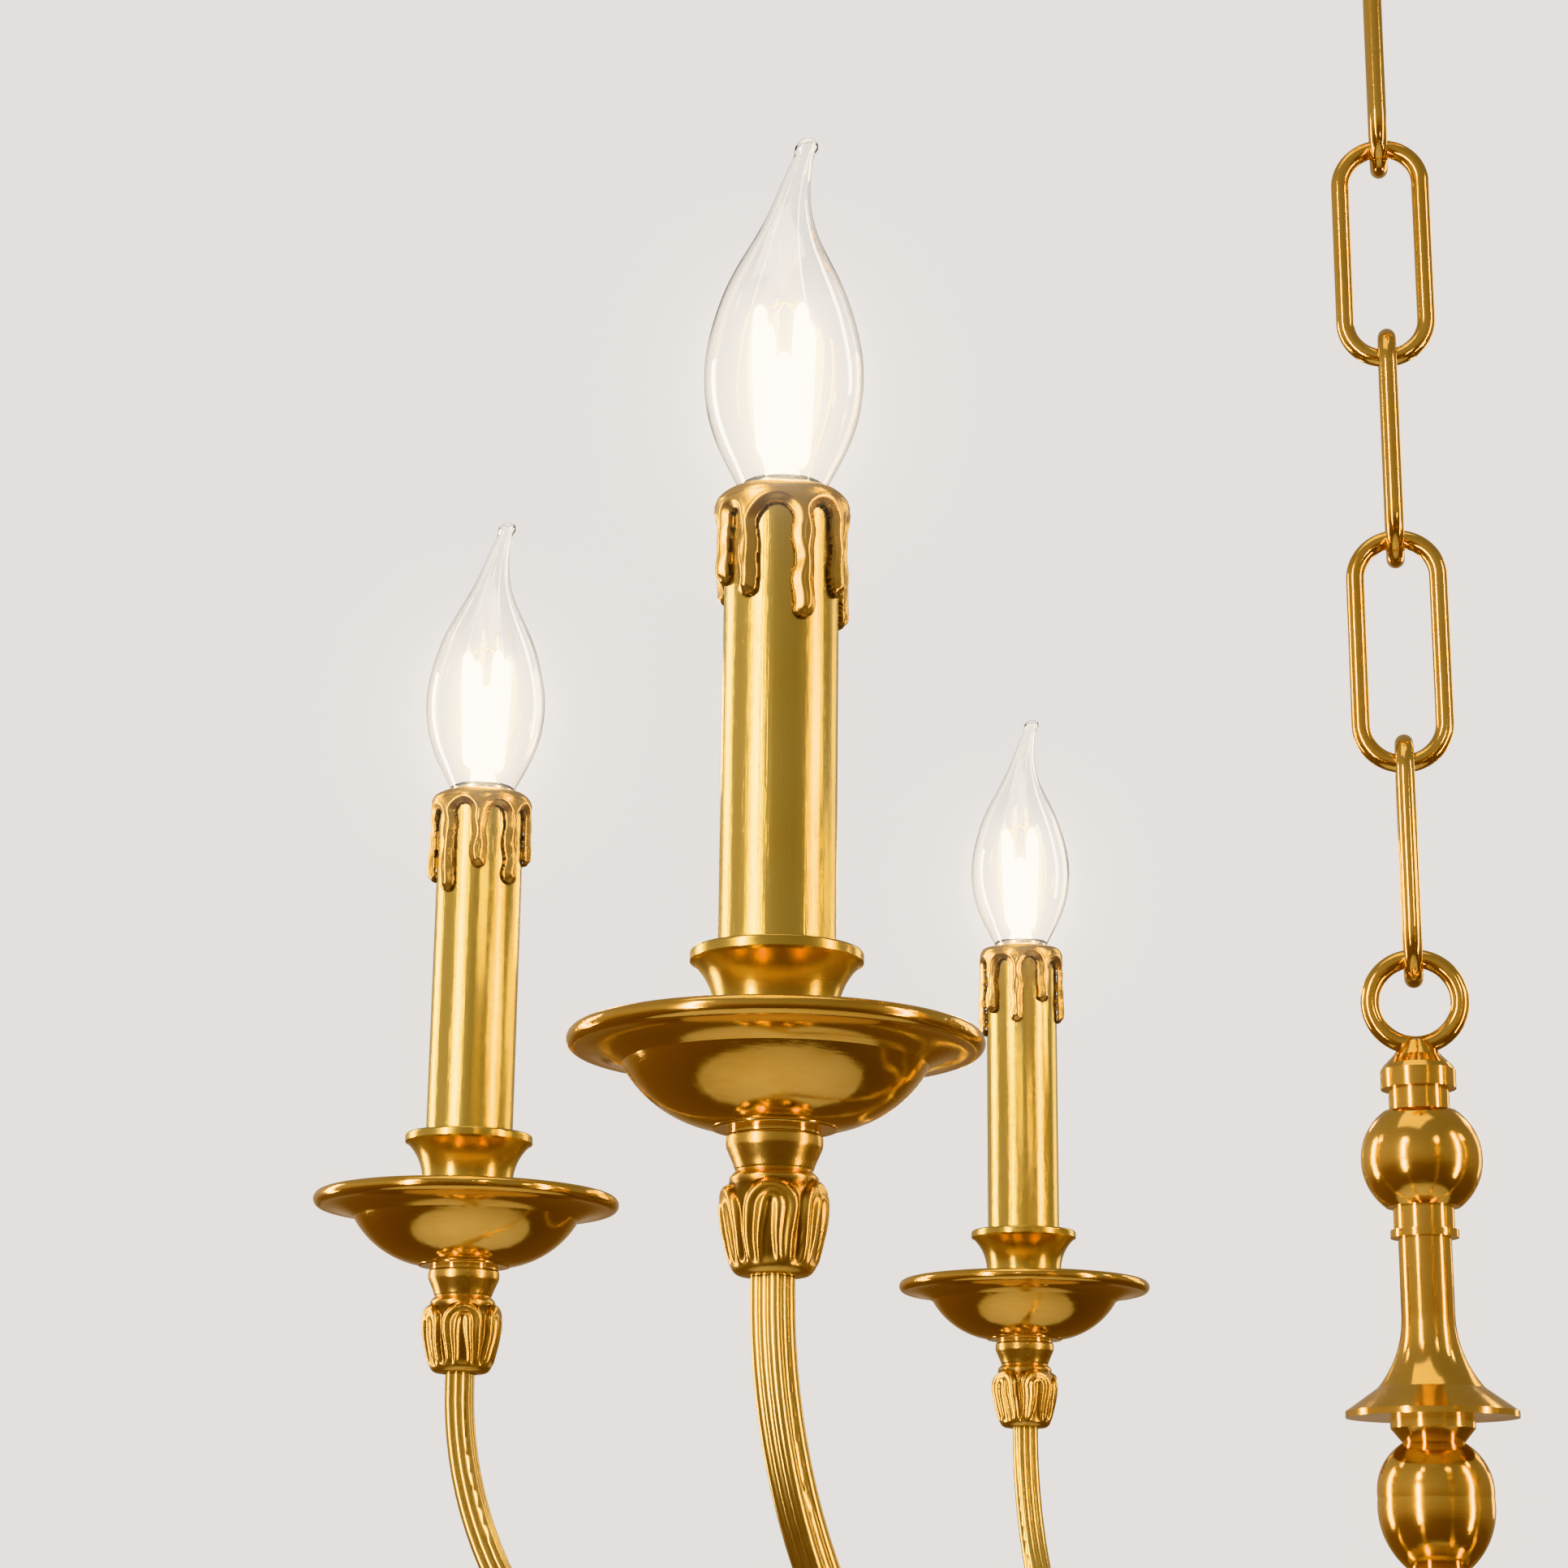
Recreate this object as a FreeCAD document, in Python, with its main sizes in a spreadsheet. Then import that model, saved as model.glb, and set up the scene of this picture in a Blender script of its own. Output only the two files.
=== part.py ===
"""Six-arm brass candle chandelier on a short chain, from the ceiling bracket down.

Frame: millimetres, +Z up.  The origin is the middle of the ceiling bracket's top face,
which lies against the ceiling, so everything hangs below Z = 0.  Arm 1 points along +X.
"""
import FreeCAD, Part
import math
import os

import Sketcher
from FreeCAD import Placement, Rotation, Vector

document = FreeCAD.newDocument("multi_arm_chandelier")
sheet = document.addObject("Spreadsheet::Sheet", "Sizes")


# ---------------------------------------------------------------- sizes with their formulas

class Size:
    """A length, angle or plain number, with the spreadsheet formula that gives it."""

    def __init__(self, value, formula):
        self.value = float(value)
        self.formula = formula

    def joined(self, other, sign, value):
        return Size(value, "(" + self.formula + " " + sign + " " + other.formula + ")")

    def __add__(self, other):
        other = as_size(other)
        return self.joined(other, "+", self.value + other.value)

    def __sub__(self, other):
        other = as_size(other)
        return self.joined(other, "-", self.value - other.value)

    def __mul__(self, other):
        other = as_size(other)
        return self.joined(other, "*", self.value * other.value)

    def __truediv__(self, other):
        other = as_size(other)
        return self.joined(other, "/", self.value / other.value)

    def __neg__(self):
        return Size(-self.value, "(0 - " + self.formula + ")")


def as_size(number):
    """Turns a bare number into a Size, so that formulas can mix both."""
    if isinstance(number, Size):
        return number
    return Size(number, "({:.10g})".format(number))


def cosine(angle):
    return Size(math.cos(math.radians(angle.value)), "cos(" + angle.formula + ")")


def sine(angle):
    return Size(math.sin(math.radians(angle.value)), "sin(" + angle.formula + ")")


sheet_rows = []


def size(alias, value):
    """Writes one driving dimension to the next row of the sheet."""
    sheet_rows.append(alias)
    row = str(len(sheet_rows))
    sheet.set("A" + row, alias)
    sheet.set("B" + row, str(value))
    sheet.setAlias("B" + row, alias)
    return Size(value, "Sizes." + alias)


# The whole chandelier
arm_count = 6
arm_reach = size("arm_reach", 265.0)            # column axis to candle axis
sheet_gap = size("sheet_gap", 0.1)              # play round anything that is slid on

# Reeded arm: a square bar with three reeds a face and a wire channel inside
bar_side = size("bar_side", 6.4)
reed_rise = size("reed_rise", 0.32)             # how far each reed bulges
arm_outer_bend = size("arm_outer_bend", 107.0)  # radius of the big sweep under the candle
arm_inner_bend = size("arm_inner_bend", 80.0)   # radius of the return sweep into the hub
arm_rise_angle = size("arm_rise_angle", 35.0)   # steepest climb between the two sweeps
arm_straight = size("arm_straight", 3.0)        # upright run below the leaf fitting
stem_radius = size("stem_radius", 4.0)          # threaded stem that holds the candle parts
spigot_radius = size("spigot_radius", 3.0)      # screwed into the hub
spigot_length = size("spigot_length", 9.0)
channel_radius = size("channel_radius", 1.7)
wire_radius = size("wire_radius", 1.1)

# Leaf fitting below the pan
fitting_height = size("fitting_height", 28.6)
fitting_top_radius = size("fitting_top_radius", 10.05)
fitting_band = size("fitting_band", 2.5)
fitting_waist_radius = size("fitting_waist_radius", 8.3)
fitting_waist_drop = size("fitting_waist_drop", 7.1)
fitting_belly_radius = size("fitting_belly_radius", 11.35)
fitting_belly_drop = size("fitting_belly_drop", 13.0)
fitting_foot_radius = size("fitting_foot_radius", 8.3)
fitting_socket_depth = size("fitting_socket_depth", 7.0)
leaf_count = 5
leaf_groove_depth = size("leaf_groove_depth", 3.0)
leaf_groove_width = size("leaf_groove_width", 3.2)

# Drip pan
pan_rim_radius = size("pan_rim_radius", 43.0)
pan_lip_radius = size("pan_lip_radius", 2.0)
pan_depth = size("pan_depth", 21.0)
pan_wall = size("pan_wall", 1.4)
pan_crease_radius = size("pan_crease_radius", 31.5)
pan_crease_drop = size("pan_crease_drop", 6.8)
pan_ring_rise = size("pan_ring_rise", 1.0)
pan_ring_round = size("pan_ring_round", 0.5)
pan_boss_radius = size("pan_boss_radius", 9.5)
pan_bowl_bend = size("pan_bowl_bend", 26.0)
pan_flange_bend = size("pan_flange_bend", 17.0)

# Candle cup
cup_rim_rise = size("cup_rim_rise", 17.2)       # above the pan's rim
cup_flare = size("cup_flare", 5.0)              # rim, outside the neck's radius
cup_rim_band = size("cup_rim_band", 2.8)
cup_wall = size("cup_wall", 0.65)              # round the foot of the sleeve
cup_neck_rise = size("cup_neck_rise", 1.0)
cup_foot_inset = size("cup_foot_inset", 0.6)    # foot, inside the neck's radius
cup_foot_height = size("cup_foot_height", 2.2)
cup_waist_inset = size("cup_waist_inset", 1.6)
cup_floor = size("cup_floor", 2.0)
cup_ledge_width = size("cup_ledge_width", 2.75)
cup_ledge_rise = size("cup_ledge_rise", 5.0)    # the sleeve stands on this ledge
cup_cove_bend = size("cup_cove_bend", 15.0)

# Candle sleeve and drip collar
sleeve_radius = size("sleeve_radius", 12.25)
sleeve_wall = size("sleeve_wall", 0.8)
sleeve_length = size("sleeve_length", 110.5)
collar_thickness = size("collar_thickness", 2.15)
collar_band = size("collar_band", 6.0)          # plain height above the drips
collar_top = size("collar_top", 1.2)
collar_mouth_gap = size("collar_mouth_gap", 1.0)    # round the lamp's neck
drip_width = size("drip_width", 5.2)
drip_angles = (-28.0, 7.5, 62.0, 104.0, 148.5, 192.5, 240.5, 286.5)   # from the arm's own line
drip_lengths = (21.0, 25.5, 30.6, 24.0, 28.0, 20.5, 26.5, 22.5)

# Lamp socket inside the sleeve
socket_side_gap = size("socket_side_gap", 1.05)     # socket to the inside of the sleeve
socket_cap_gap = size("socket_cap_gap", 0.25)       # lamp cap to the socket's bore
socket_depth = size("socket_depth", 24.0)
socket_below_top = size("socket_below_top", 4.0)
socket_floor = size("socket_floor", 5.0)
riser_radius = size("riser_radius", 5.5)
socket_foot_radius = size("socket_foot_radius", 8.6)
socket_foot_height = size("socket_foot_height", 8.0)

# Flame-shaped lamp
cap_radius = size("cap_radius", 6.9)
skirt_gap = size("skirt_gap", 0.6)              # skirt clears the lamp socket's mouth
cap_contact_radius = size("cap_contact_radius", 2.5)
cap_contact_height = size("cap_contact_height", 1.6)
cap_skirt_radius = size("cap_skirt_radius", 9.0)
cap_skirt_height = size("cap_skirt_height", 6.0)
glass_wall = size("glass_wall", 0.9)
glass_radius = size("glass_radius", 17.5)
glass_belly_rise = size("glass_belly_rise", 29.5)   # above the drip collar
glass_height = size("glass_height", 91.0)           # above the drip collar
glass_tip_radius = size("glass_tip_radius", 2.3)

# Column
rod_radius = size("rod_radius", 4.0)
ball_radius = size("ball_radius", 16.0)
ball_rise = size("ball_rise", 6.0)              # ball's centre above the pans' rims
column_neck_radius = size("column_neck_radius", 8.0)
ball_neck = size("ball_neck", 3.0)
bell_radius = size("bell_radius", 22.5)
bell_drop = size("bell_drop", 62.0)             # flange's flat underside below the rims
bell_lip = size("bell_lip", 1.6)
vase_radius = size("vase_radius", 15.0)
vase_foot_radius = size("vase_foot_radius", 11.0)
hub_radius = size("hub_radius", 30.0)
hub_band = size("hub_band", 12.0)
hub_height = size("hub_height", 36.0)
hub_cavity_radius = size("hub_cavity_radius", 19.0)
hub_cavity_height = size("hub_cavity_height", 20.0)
hub_top_radius = size("hub_top_radius", 14.0)
bowl_radius = size("bowl_radius", 24.0)
bowl_height = size("bowl_height", 30.0)
finial_ball_radius = size("finial_ball_radius", 9.0)
finial_drop = size("finial_drop", 62.0)         # hub's underside down to the very bottom
plug_height = size("plug_height", 5.0)

# Suspension: rings, links, canopy, ceiling bracket
ring_wire = size("ring_wire", 2.5)              # radius of the wire of every ring and link
ring_bend = size("ring_bend", 12.0)             # radius of a ring's centre line
link_count = 5
link_bend = size("link_bend", 11.5)
link_length = size("link_length", 71.0)
link_gap = size("link_gap", 0.4)                # play where two wires cross
canopy_radius = size("canopy_radius", 60.0)
canopy_depth = size("canopy_depth", 52.0)
canopy_wall = size("canopy_wall", 1.2)
canopy_band = size("canopy_band", 5.0)
canopy_neck_radius = size("canopy_neck_radius", 13.0)
nipple_radius = size("nipple_radius", 5.0)
nipple_bore = size("nipple_bore", 3.2)
nipple_length = size("nipple_length", 58.0)
loop_collar_radius = size("loop_collar_radius", 10.0)
loop_collar_height = size("loop_collar_height", 12.0)
bracket_length = size("bracket_length", 104.0)
bracket_width = size("bracket_width", 22.0)
bracket_thickness = size("bracket_thickness", 3.0)
bracket_hole_radius = size("bracket_hole_radius", 2.5)
bracket_hole_spacing = size("bracket_hole_spacing", 70.0)

# Sizes that follow from the ones above
arm_step = 360.0 / arm_count
zero = as_size(0.0)
fitting_bottom = -(pan_depth + fitting_height)            # below the pan's rim
bar_end = fitting_bottom + fitting_socket_depth
hub_axis = (fitting_bottom - arm_straight - arm_outer_bend * cosine(arm_rise_angle)
            + arm_inner_bend * (as_size(1.0) - cosine(arm_rise_angle)))
pan_floor = pan_wall * 1.6 - pan_depth                     # top of the pan's thick floor
sleeve_seat = sleeve_radius + sheet_gap                    # bores that hold the sleeve
cup_neck_radius = sleeve_seat + cup_wall
pan_ring_radius = cup_neck_radius
cup_rim_radius = cup_neck_radius + cup_flare
collar_radius = sleeve_seat + collar_thickness
lamp_neck_radius = cap_skirt_radius + glass_wall
collar_level = cup_ledge_rise + sleeve_length + collar_top
socket_top = collar_level - socket_below_top
socket_seat = socket_top - socket_depth
hub_bottom = hub_axis - hub_height / 2.0
hub_top = hub_axis + hub_height / 2.0
link_inner_half = link_length / 2.0 - ring_wire            # link's centre to its end wires
wire_crossing = ring_wire * 2.0 + link_gap
link_pitch = link_inner_half * 2.0 - wire_crossing
upper_ring_wire = -(canopy_depth + loop_collar_height + ring_bend * 2.0)
last_link_wire = upper_ring_wire - link_pitch * link_count
column_top = ball_rise + ball_radius + ball_neck          # above the pans' rims
column_ring_wire = column_top + loop_collar_height + ring_bend * 2.0
pan_drop = column_ring_wire - last_link_wire - wire_crossing   # ceiling to the pans' rims


# ---------------------------------------------------------------- drawing helpers

exported = []


def new_body(label, keep=True):
    """One sub-part: a Part Design body that is written out under its own label."""
    body = document.addObject("PartDesign::Body", label)
    body.Label = label
    if keep:
        exported.append(body)
    return body


def origin_plane(body, role):
    return [item for item in body.Origin.OriginFeatures if item.Role == role][0]


def place(body, radius, height, turn):
    """Stands a body at a distance from the column, on the bearing of one arm."""
    bearing = math.radians(turn)
    body.Placement = Placement(Vector(radius.value * math.cos(bearing),
                                      radius.value * math.sin(bearing),
                                      height.value), Rotation(Vector(0, 0, 1), turn))
    body.setExpression("Placement.Base.x", radius.formula + " * cos({:.10g})".format(turn))
    body.setExpression("Placement.Base.y", radius.formula + " * sin({:.10g})".format(turn))
    body.setExpression("Placement.Base.z", height.formula)


def arc_between(start, end, bend):
    """The short arc of a given radius; a positive bend bulges to the right of the way."""
    chord = end.sub(start)
    middle = (start + end) * 0.5
    reach = math.sqrt(max(bend * bend - chord.Length ** 2 / 4.0, 0.0))
    right = Vector(chord.y, -chord.x, 0.0).normalize()
    side = math.copysign(1.0, bend)
    centre = middle - right * (side * reach)
    crown = centre + right * (side * abs(bend))
    return Part.Arc(start, crown, end)


def draw(body, role, name, corners, level=None, closed=True):
    """Draws an outline on one of the body's planes and ties every corner to the sheet.

    A corner is (x, y), reached by a straight line from the one before it, or (x, y, bend),
    reached by an arc of that radius.  In a closed outline the first corner's own bend
    belongs to the closing edge.
    """
    sketch = body.newObject("Sketcher::SketchObject", name)
    sketch.AttachmentSupport = [(origin_plane(body, role), "")]
    sketch.MapMode = "FlatFace"
    if level is not None:
        sketch.AttachmentOffset = Placement(Vector(0, 0, level.value), Rotation())
        sketch.setExpression("AttachmentOffset.Base.z", level.formula)
    points = [Vector(as_size(corner[0]).value, as_size(corner[1]).value, 0.0)
              for corner in corners]
    ways = [(index, index + 1) for index in range(len(corners) - 1)]
    if closed:
        ways.append((len(corners) - 1, 0))
    constraints = []
    tied = []
    ends = []
    for start, end in ways:
        bend = corners[end][2] if len(corners[end]) > 2 else None
        if bend is None:
            edge = Part.LineSegment(points[start], points[end])
            number = sketch.addGeometry(edge, False)
            ends.append((number, 1, 2))
            continue
        arc = arc_between(points[start], points[end], bend.value)
        number = sketch.addGeometry(arc, False)
        begins = sketch.getPoint(number, 1).distanceToPoint(points[start]) < 1e-6
        ends.append((number, 1, 2) if begins else (number, 2, 1))
        constraints.append(Sketcher.Constraint("Radius", number, abs(bend.value)))
        tied.append(("bend{}".format(end), bend if bend.value > 0 else -bend))
    for index in range(len(ends) - 1):
        before, after = ends[index], ends[index + 1]
        constraints.append(Sketcher.Constraint("Coincident", before[0], before[2],
                                               after[0], after[1]))
        tied.append(None)
    if closed:
        constraints.append(Sketcher.Constraint("Coincident", ends[-1][0], ends[-1][2],
                                               ends[0][0], ends[0][1]))
        tied.append(None)
    spots = [(way[0], place_on[0], place_on[1]) for way, place_on in zip(ways, ends)]
    if not closed:
        spots.append((ways[-1][1], ends[-1][0], ends[-1][2]))
    for corner, geometry, vertex in spots:
        for axis, kind in enumerate(("DistanceX", "DistanceY")):
            wanted = as_size(corners[corner][axis])
            constraints.append(Sketcher.Constraint(kind, -1, 1, geometry, vertex,
                                                   wanted.value))
            tied.append(("xy"[axis] + str(corner), wanted))
    numbers = sketch.addConstraint(constraints)
    for number, tie in zip(numbers, tied):
        if tie is not None:
            sketch.renameConstraint(number, tie[0])
            sketch.setExpression("Constraints." + tie[0], tie[1].formula)
    return sketch


def turned(body, name, outline):
    """Turns a half outline, given as (radius, height) corners, about the body's Z axis."""
    sketch = draw(body, "XZ_Plane", name + "_outline", outline)
    feature = body.newObject("PartDesign::Revolution", name)
    feature.Profile = sketch
    feature.ReferenceAxis = (sketch, ["V_Axis"])
    feature.Angle = 360.0
    body.Tip = feature
    return feature


def circle(body, role, name, x, y, radius, level=None):
    """A circle on one of the body's planes, its centre and radius tied to the sheet."""
    sketch = body.newObject("Sketcher::SketchObject", name)
    sketch.AttachmentSupport = [(origin_plane(body, role), "")]
    sketch.MapMode = "FlatFace"
    if level is not None:
        sketch.AttachmentOffset = Placement(Vector(0, 0, level.value), Rotation())
        sketch.setExpression("AttachmentOffset.Base.z", level.formula)
    add_circle(sketch, x, y, radius)
    return sketch


def add_circle(sketch, x, y, radius):
    """Adds one more tied circle to a sketch."""
    round_edge = Part.Circle(Vector(x.value, y.value, 0), Vector(0, 0, 1), radius.value)
    number = sketch.addGeometry(round_edge, False)
    for kind, wanted, word in (("DistanceX", x, "x"), ("DistanceY", y, "y"),
                               ("Radius", radius, "radius")):
        if kind == "Radius":
            constraint = Sketcher.Constraint(kind, number, wanted.value)
        else:
            constraint = Sketcher.Constraint(kind, -1, 1, number, 3, wanted.value)
        made = sketch.addConstraint(constraint)
        sketch.renameConstraint(made, word + str(number))
        sketch.setExpression("Constraints." + word + str(number), wanted.formula)


def pad(body, name, sketch, length, reverse=False):
    """Pads a sketch by a tied length."""
    feature = body.newObject("PartDesign::Pad", name)
    feature.Profile = sketch
    feature.Length = length.value
    feature.setExpression("Length", length.formula)
    feature.Reversed = reverse
    body.Tip = feature
    return feature


def pocket(body, name, sketch, length, reverse=False):
    """Cuts a sketch by a tied length."""
    feature = body.newObject("PartDesign::Pocket", name)
    feature.Profile = sketch
    feature.Length = length.value
    feature.setExpression("Length", length.formula)
    feature.Reversed = reverse
    body.Tip = feature
    return feature


def pipe(body, name, profile, path, cut=False):
    """Sweeps a profile along a path sketch, added to or cut from the body."""
    kind = "PartDesign::SubtractivePipe" if cut else "PartDesign::AdditivePipe"
    feature = body.newObject(kind, name)
    feature.Profile = profile
    edges = ["Edge" + str(index + 1) for index in range(path.GeometryCount)]
    feature.Spine = (path, edges)
    feature.Transition = "Transformed"
    body.Tip = feature
    return feature


def ring_of(body, name, features, count):
    """Repeats features evenly round the body's Z axis."""
    pattern = body.newObject("PartDesign::PolarPattern", name)
    pattern.Originals = features
    axis = [item for item in body.Origin.OriginFeatures if item.Role == "Z_Axis"][0]
    pattern.Axis = (axis, [""])
    pattern.Angle = 360.0
    pattern.Occurrences = count
    body.Tip = pattern
    return pattern


# ---------------------------------------------------------------- the arms

def arm_path(body, name, start_height, inner_end):
    """The arm's centre line: upright run, big sweep, return sweep and run to the hub."""
    sweep_centre = arm_reach - arm_outer_bend
    sweep_level = fitting_bottom - arm_straight
    turn_x = sweep_centre - arm_outer_bend * sine(arm_rise_angle)
    turn_y = sweep_level - arm_outer_bend * cosine(arm_rise_angle)
    level_x = turn_x - arm_inner_bend * sine(arm_rise_angle)
    corners = [
        (arm_reach, start_height),
        (arm_reach, sweep_level),
        (sweep_centre, sweep_level - arm_outer_bend, -arm_outer_bend),
        (turn_x, turn_y, -arm_outer_bend),
        (level_x, hub_axis, arm_inner_bend),
        (inner_end, hub_axis),
    ]
    return draw(body, "XZ_Plane", name, corners, closed=False)


def reeded_section(body, name):
    """Square section at the arm's top with three reeds along each face."""
    half = bar_side / 2.0
    third = bar_side / 3.0
    chord = bar_side.value / 3.0
    rise = reed_rise.value
    reed_bend = Size((chord * chord / 4.0 + rise * rise) / (2.0 * rise),
                     "((Sizes.bar_side / 3) ^ 2 / 4 + Sizes.reed_rise ^ 2)"
                     " / (2 * Sizes.reed_rise)")
    corners = []
    for step in range(4):
        run = [(-half + third * index, -half) for index in range(3)]
        for x, y in run:
            for _ in range(step):
                x, y = -y, x
            corners.append((arm_reach + x, y, reed_bend))
    return draw(body, "XY_Plane", name, corners, level=bar_end)


def make_arm(number, turn):
    """Reeded arm with a threaded stem above, a spigot in the hub and a wire channel."""
    body = new_body("arm_{}".format(number))
    inner_end = hub_radius + sheet_gap
    path = arm_path(body, "centre_line", bar_end, inner_end)
    pipe(body, "reeded_bar", reeded_section(body, "section"), path)
    stem_top = pan_floor + cup_floor + socket_foot_height * 2.0
    stem = circle(body, "XY_Plane", "stem_circle", arm_reach, zero, stem_radius, bar_end)
    pad(body, "stem", stem, stem_top - bar_end)
    spigot = circle(body, "YZ_Plane", "spigot_circle", zero, hub_axis, spigot_radius,
                    inner_end)
    pad(body, "spigot", spigot, spigot_length, reverse=True)
    channel = arm_path(body, "channel_line", stem_top, inner_end - spigot_length)
    bore = circle(body, "XY_Plane", "channel_circle", arm_reach, zero, channel_radius,
                  stem_top)
    pipe(body, "wire_channel", bore, channel, cut=True)
    place(body, zero, -pan_drop, turn)


def make_wires():
    """The six lamp wires, each from the hub's cavity through its arm to its socket."""
    body = new_body("arm_wires")
    top = socket_seat - socket_floor
    path = arm_path(body, "wire_line", top, hub_cavity_radius - 3.0)
    section = circle(body, "XY_Plane", "wire_circle", arm_reach, zero, wire_radius, top)
    wire = pipe(body, "wire", section, path)
    ring_of(body, "wires", [wire], arm_count)
    place(body, zero, -pan_drop, 0.0)


# ---------------------------------------------------------------- candle parts

def make_leaf_fitting(number, turn):
    """Turned brass fitting under the pan, its belly grooved into leaves."""
    body = new_body("leaf_fitting_{}".format(number))
    top = -pan_depth
    bore = stem_radius + sheet_gap
    socket = bar_side * 0.7072 + sheet_gap
    turned(body, "turning", [
        (bore, top),
        (bore, bar_end),
        (socket, bar_end),
        (socket, fitting_bottom),
        (fitting_foot_radius - 1.2, fitting_bottom),
        (fitting_foot_radius, fitting_bottom + 1.2, as_size(1.2)),
        (fitting_belly_radius, top - fitting_belly_drop, as_size(34.0)),
        (fitting_waist_radius, top - fitting_waist_drop, as_size(7.0)),
        (fitting_top_radius - 0.5, top - fitting_band, as_size(-9.0)),
        (fitting_top_radius, top - fitting_band + 0.5),
        (fitting_top_radius, top - 0.5),
        (fitting_top_radius - 0.5, top),
    ])
    groove = draw(body, "XY_Plane", "groove_outline", [
        (fitting_belly_radius - leaf_groove_depth, zero),
        (fitting_belly_radius + 1.0, -leaf_groove_width / 2.0),
        (fitting_belly_radius + 1.0, leaf_groove_width / 2.0),
    ], level=top - fitting_waist_drop)
    cut = pocket(body, "leaf_groove", groove, fitting_height - fitting_waist_drop + 1.0)
    ring_of(body, "leaf_grooves", [cut], leaf_count)
    place(body, arm_reach, -pan_drop, turn)


def make_drip_pan(number, turn):
    """Spun pan: rolled lip, hollow flange, crease, round bowl and a stepped foot."""
    body = new_body("drip_pan_{}".format(number))
    bore = stem_radius + sheet_gap
    lip_centre = pan_rim_radius - pan_lip_radius
    lip_inside = lip_centre - pan_lip_radius
    ring_level = pan_ring_rise + pan_ring_round - pan_depth
    turned(body, "spinning", [
        (bore, pan_floor),
        (bore, -pan_depth),
        (pan_boss_radius, -pan_depth),
        (pan_boss_radius, pan_ring_rise - pan_depth),
        (pan_ring_radius - pan_ring_round, pan_ring_rise - pan_depth),
        (pan_ring_radius, ring_level, pan_ring_round),
        (pan_crease_radius, -pan_crease_drop, pan_bowl_bend),
        (lip_centre, -(pan_lip_radius * 2.0), -pan_flange_bend),
        (pan_rim_radius, -pan_lip_radius, pan_lip_radius),
        (lip_centre, zero, pan_lip_radius),
        (lip_inside, -pan_lip_radius, pan_lip_radius),
        (pan_crease_radius - 0.4, pan_wall - pan_crease_drop, pan_flange_bend),
        (pan_ring_radius + 0.8, ring_level + pan_wall, -pan_bowl_bend),
        (pan_ring_radius, pan_floor),
    ])
    place(body, arm_reach, -pan_drop, turn)


def make_candle_cup(number, turn):
    """Cup that stands in the pan and holds the foot of the candle sleeve."""
    body = new_body("candle_cup_{}".format(number))
    bore = stem_radius + sheet_gap
    foot_radius = cup_neck_radius - cup_foot_inset
    waist_radius = cup_neck_radius - cup_waist_inset
    bore_radius = sleeve_seat - cup_ledge_width
    band_level = cup_rim_rise - cup_rim_band
    turned(body, "turning", [
        (bore, pan_floor),
        (foot_radius, pan_floor),
        (foot_radius, pan_floor + cup_foot_height),
        (waist_radius, pan_floor + cup_foot_height + 1.0),
        (waist_radius, cup_neck_rise - 3.0),
        (cup_neck_radius + 0.6, cup_neck_rise - 1.8),
        (cup_neck_radius + 0.6, cup_neck_rise - 0.6, as_size(0.8)),
        (cup_neck_radius, cup_neck_rise),
        (cup_rim_radius - 0.9, band_level, -cup_cove_bend),
        (cup_rim_radius, band_level + 0.5),
        (cup_rim_radius, cup_rim_rise - 0.7),
        (cup_rim_radius - 0.7, cup_rim_rise, as_size(0.7)),
        (cup_rim_radius - 2.0, cup_rim_rise),
        (sleeve_seat, cup_rim_rise - 2.4),
        (sleeve_seat, cup_ledge_rise),
        (bore_radius, cup_ledge_rise),
        (bore_radius, pan_floor + cup_floor),
        (bore, pan_floor + cup_floor),
    ])
    place(body, arm_reach, -pan_drop, turn)


def make_candle_sleeve(number, turn):
    """Plain brass tube that looks like the candle and hides the lamp socket."""
    body = new_body("candle_sleeve_{}".format(number))
    inside = sleeve_radius - sleeve_wall
    top = cup_ledge_rise + sleeve_length
    turned(body, "tube", [
        (inside, cup_ledge_rise),
        (sleeve_radius, cup_ledge_rise),
        (sleeve_radius, top),
        (inside, top),
    ])
    place(body, arm_reach, -pan_drop, turn)


def make_drip_collars():
    """The six wax-drip collars that cap the sleeves, eight drips to a collar."""
    collars = []
    inside = sleeve_seat
    mouth = lamp_neck_radius + collar_mouth_gap
    under_top = collar_level - collar_top
    for number in range(arm_count):
        body = new_body("drip_collar_{}".format(number + 1), keep=False)
        turned(body, "cap", [
            (mouth, under_top),
            (inside, under_top),
            (inside, collar_level - collar_band),
            (collar_radius, collar_level - collar_band),
            (collar_radius, collar_level - 1.4),
            (collar_radius - 1.4, collar_level, as_size(1.4)),
            (mouth, collar_level),
        ])
        for drip, (angle, length) in enumerate(zip(drip_angles, drip_lengths)):
            half = math.degrees(drip_width.value / 2.0 / collar_radius.value)
            outline = []
            for radius, sign, bend in ((inside, -1, None), (collar_radius, -1, None),
                                       (collar_radius, 1, collar_radius),
                                       (inside, 1, None)):
                bearing = as_size(angle + sign * half)
                corner = (radius * cosine(bearing), radius * sine(bearing))
                outline.append(corner if bend is None else corner + (bend,))
            outline[0] = outline[0] + (-inside,)
            name = "drip_{}".format(drip + 1)
            sector = draw(body, "XY_Plane", name + "_outline", outline,
                          level=collar_level - length)
            pad(body, name, sector, as_size(length) - collar_band + 0.5)
        place(body, arm_reach, -pan_drop, number * arm_step)
        collars.append(body)
    group = document.addObject("Part::Compound", "drip_collars")
    group.Label = "drip_collars"
    group.Links = collars
    exported.append(group)


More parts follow.
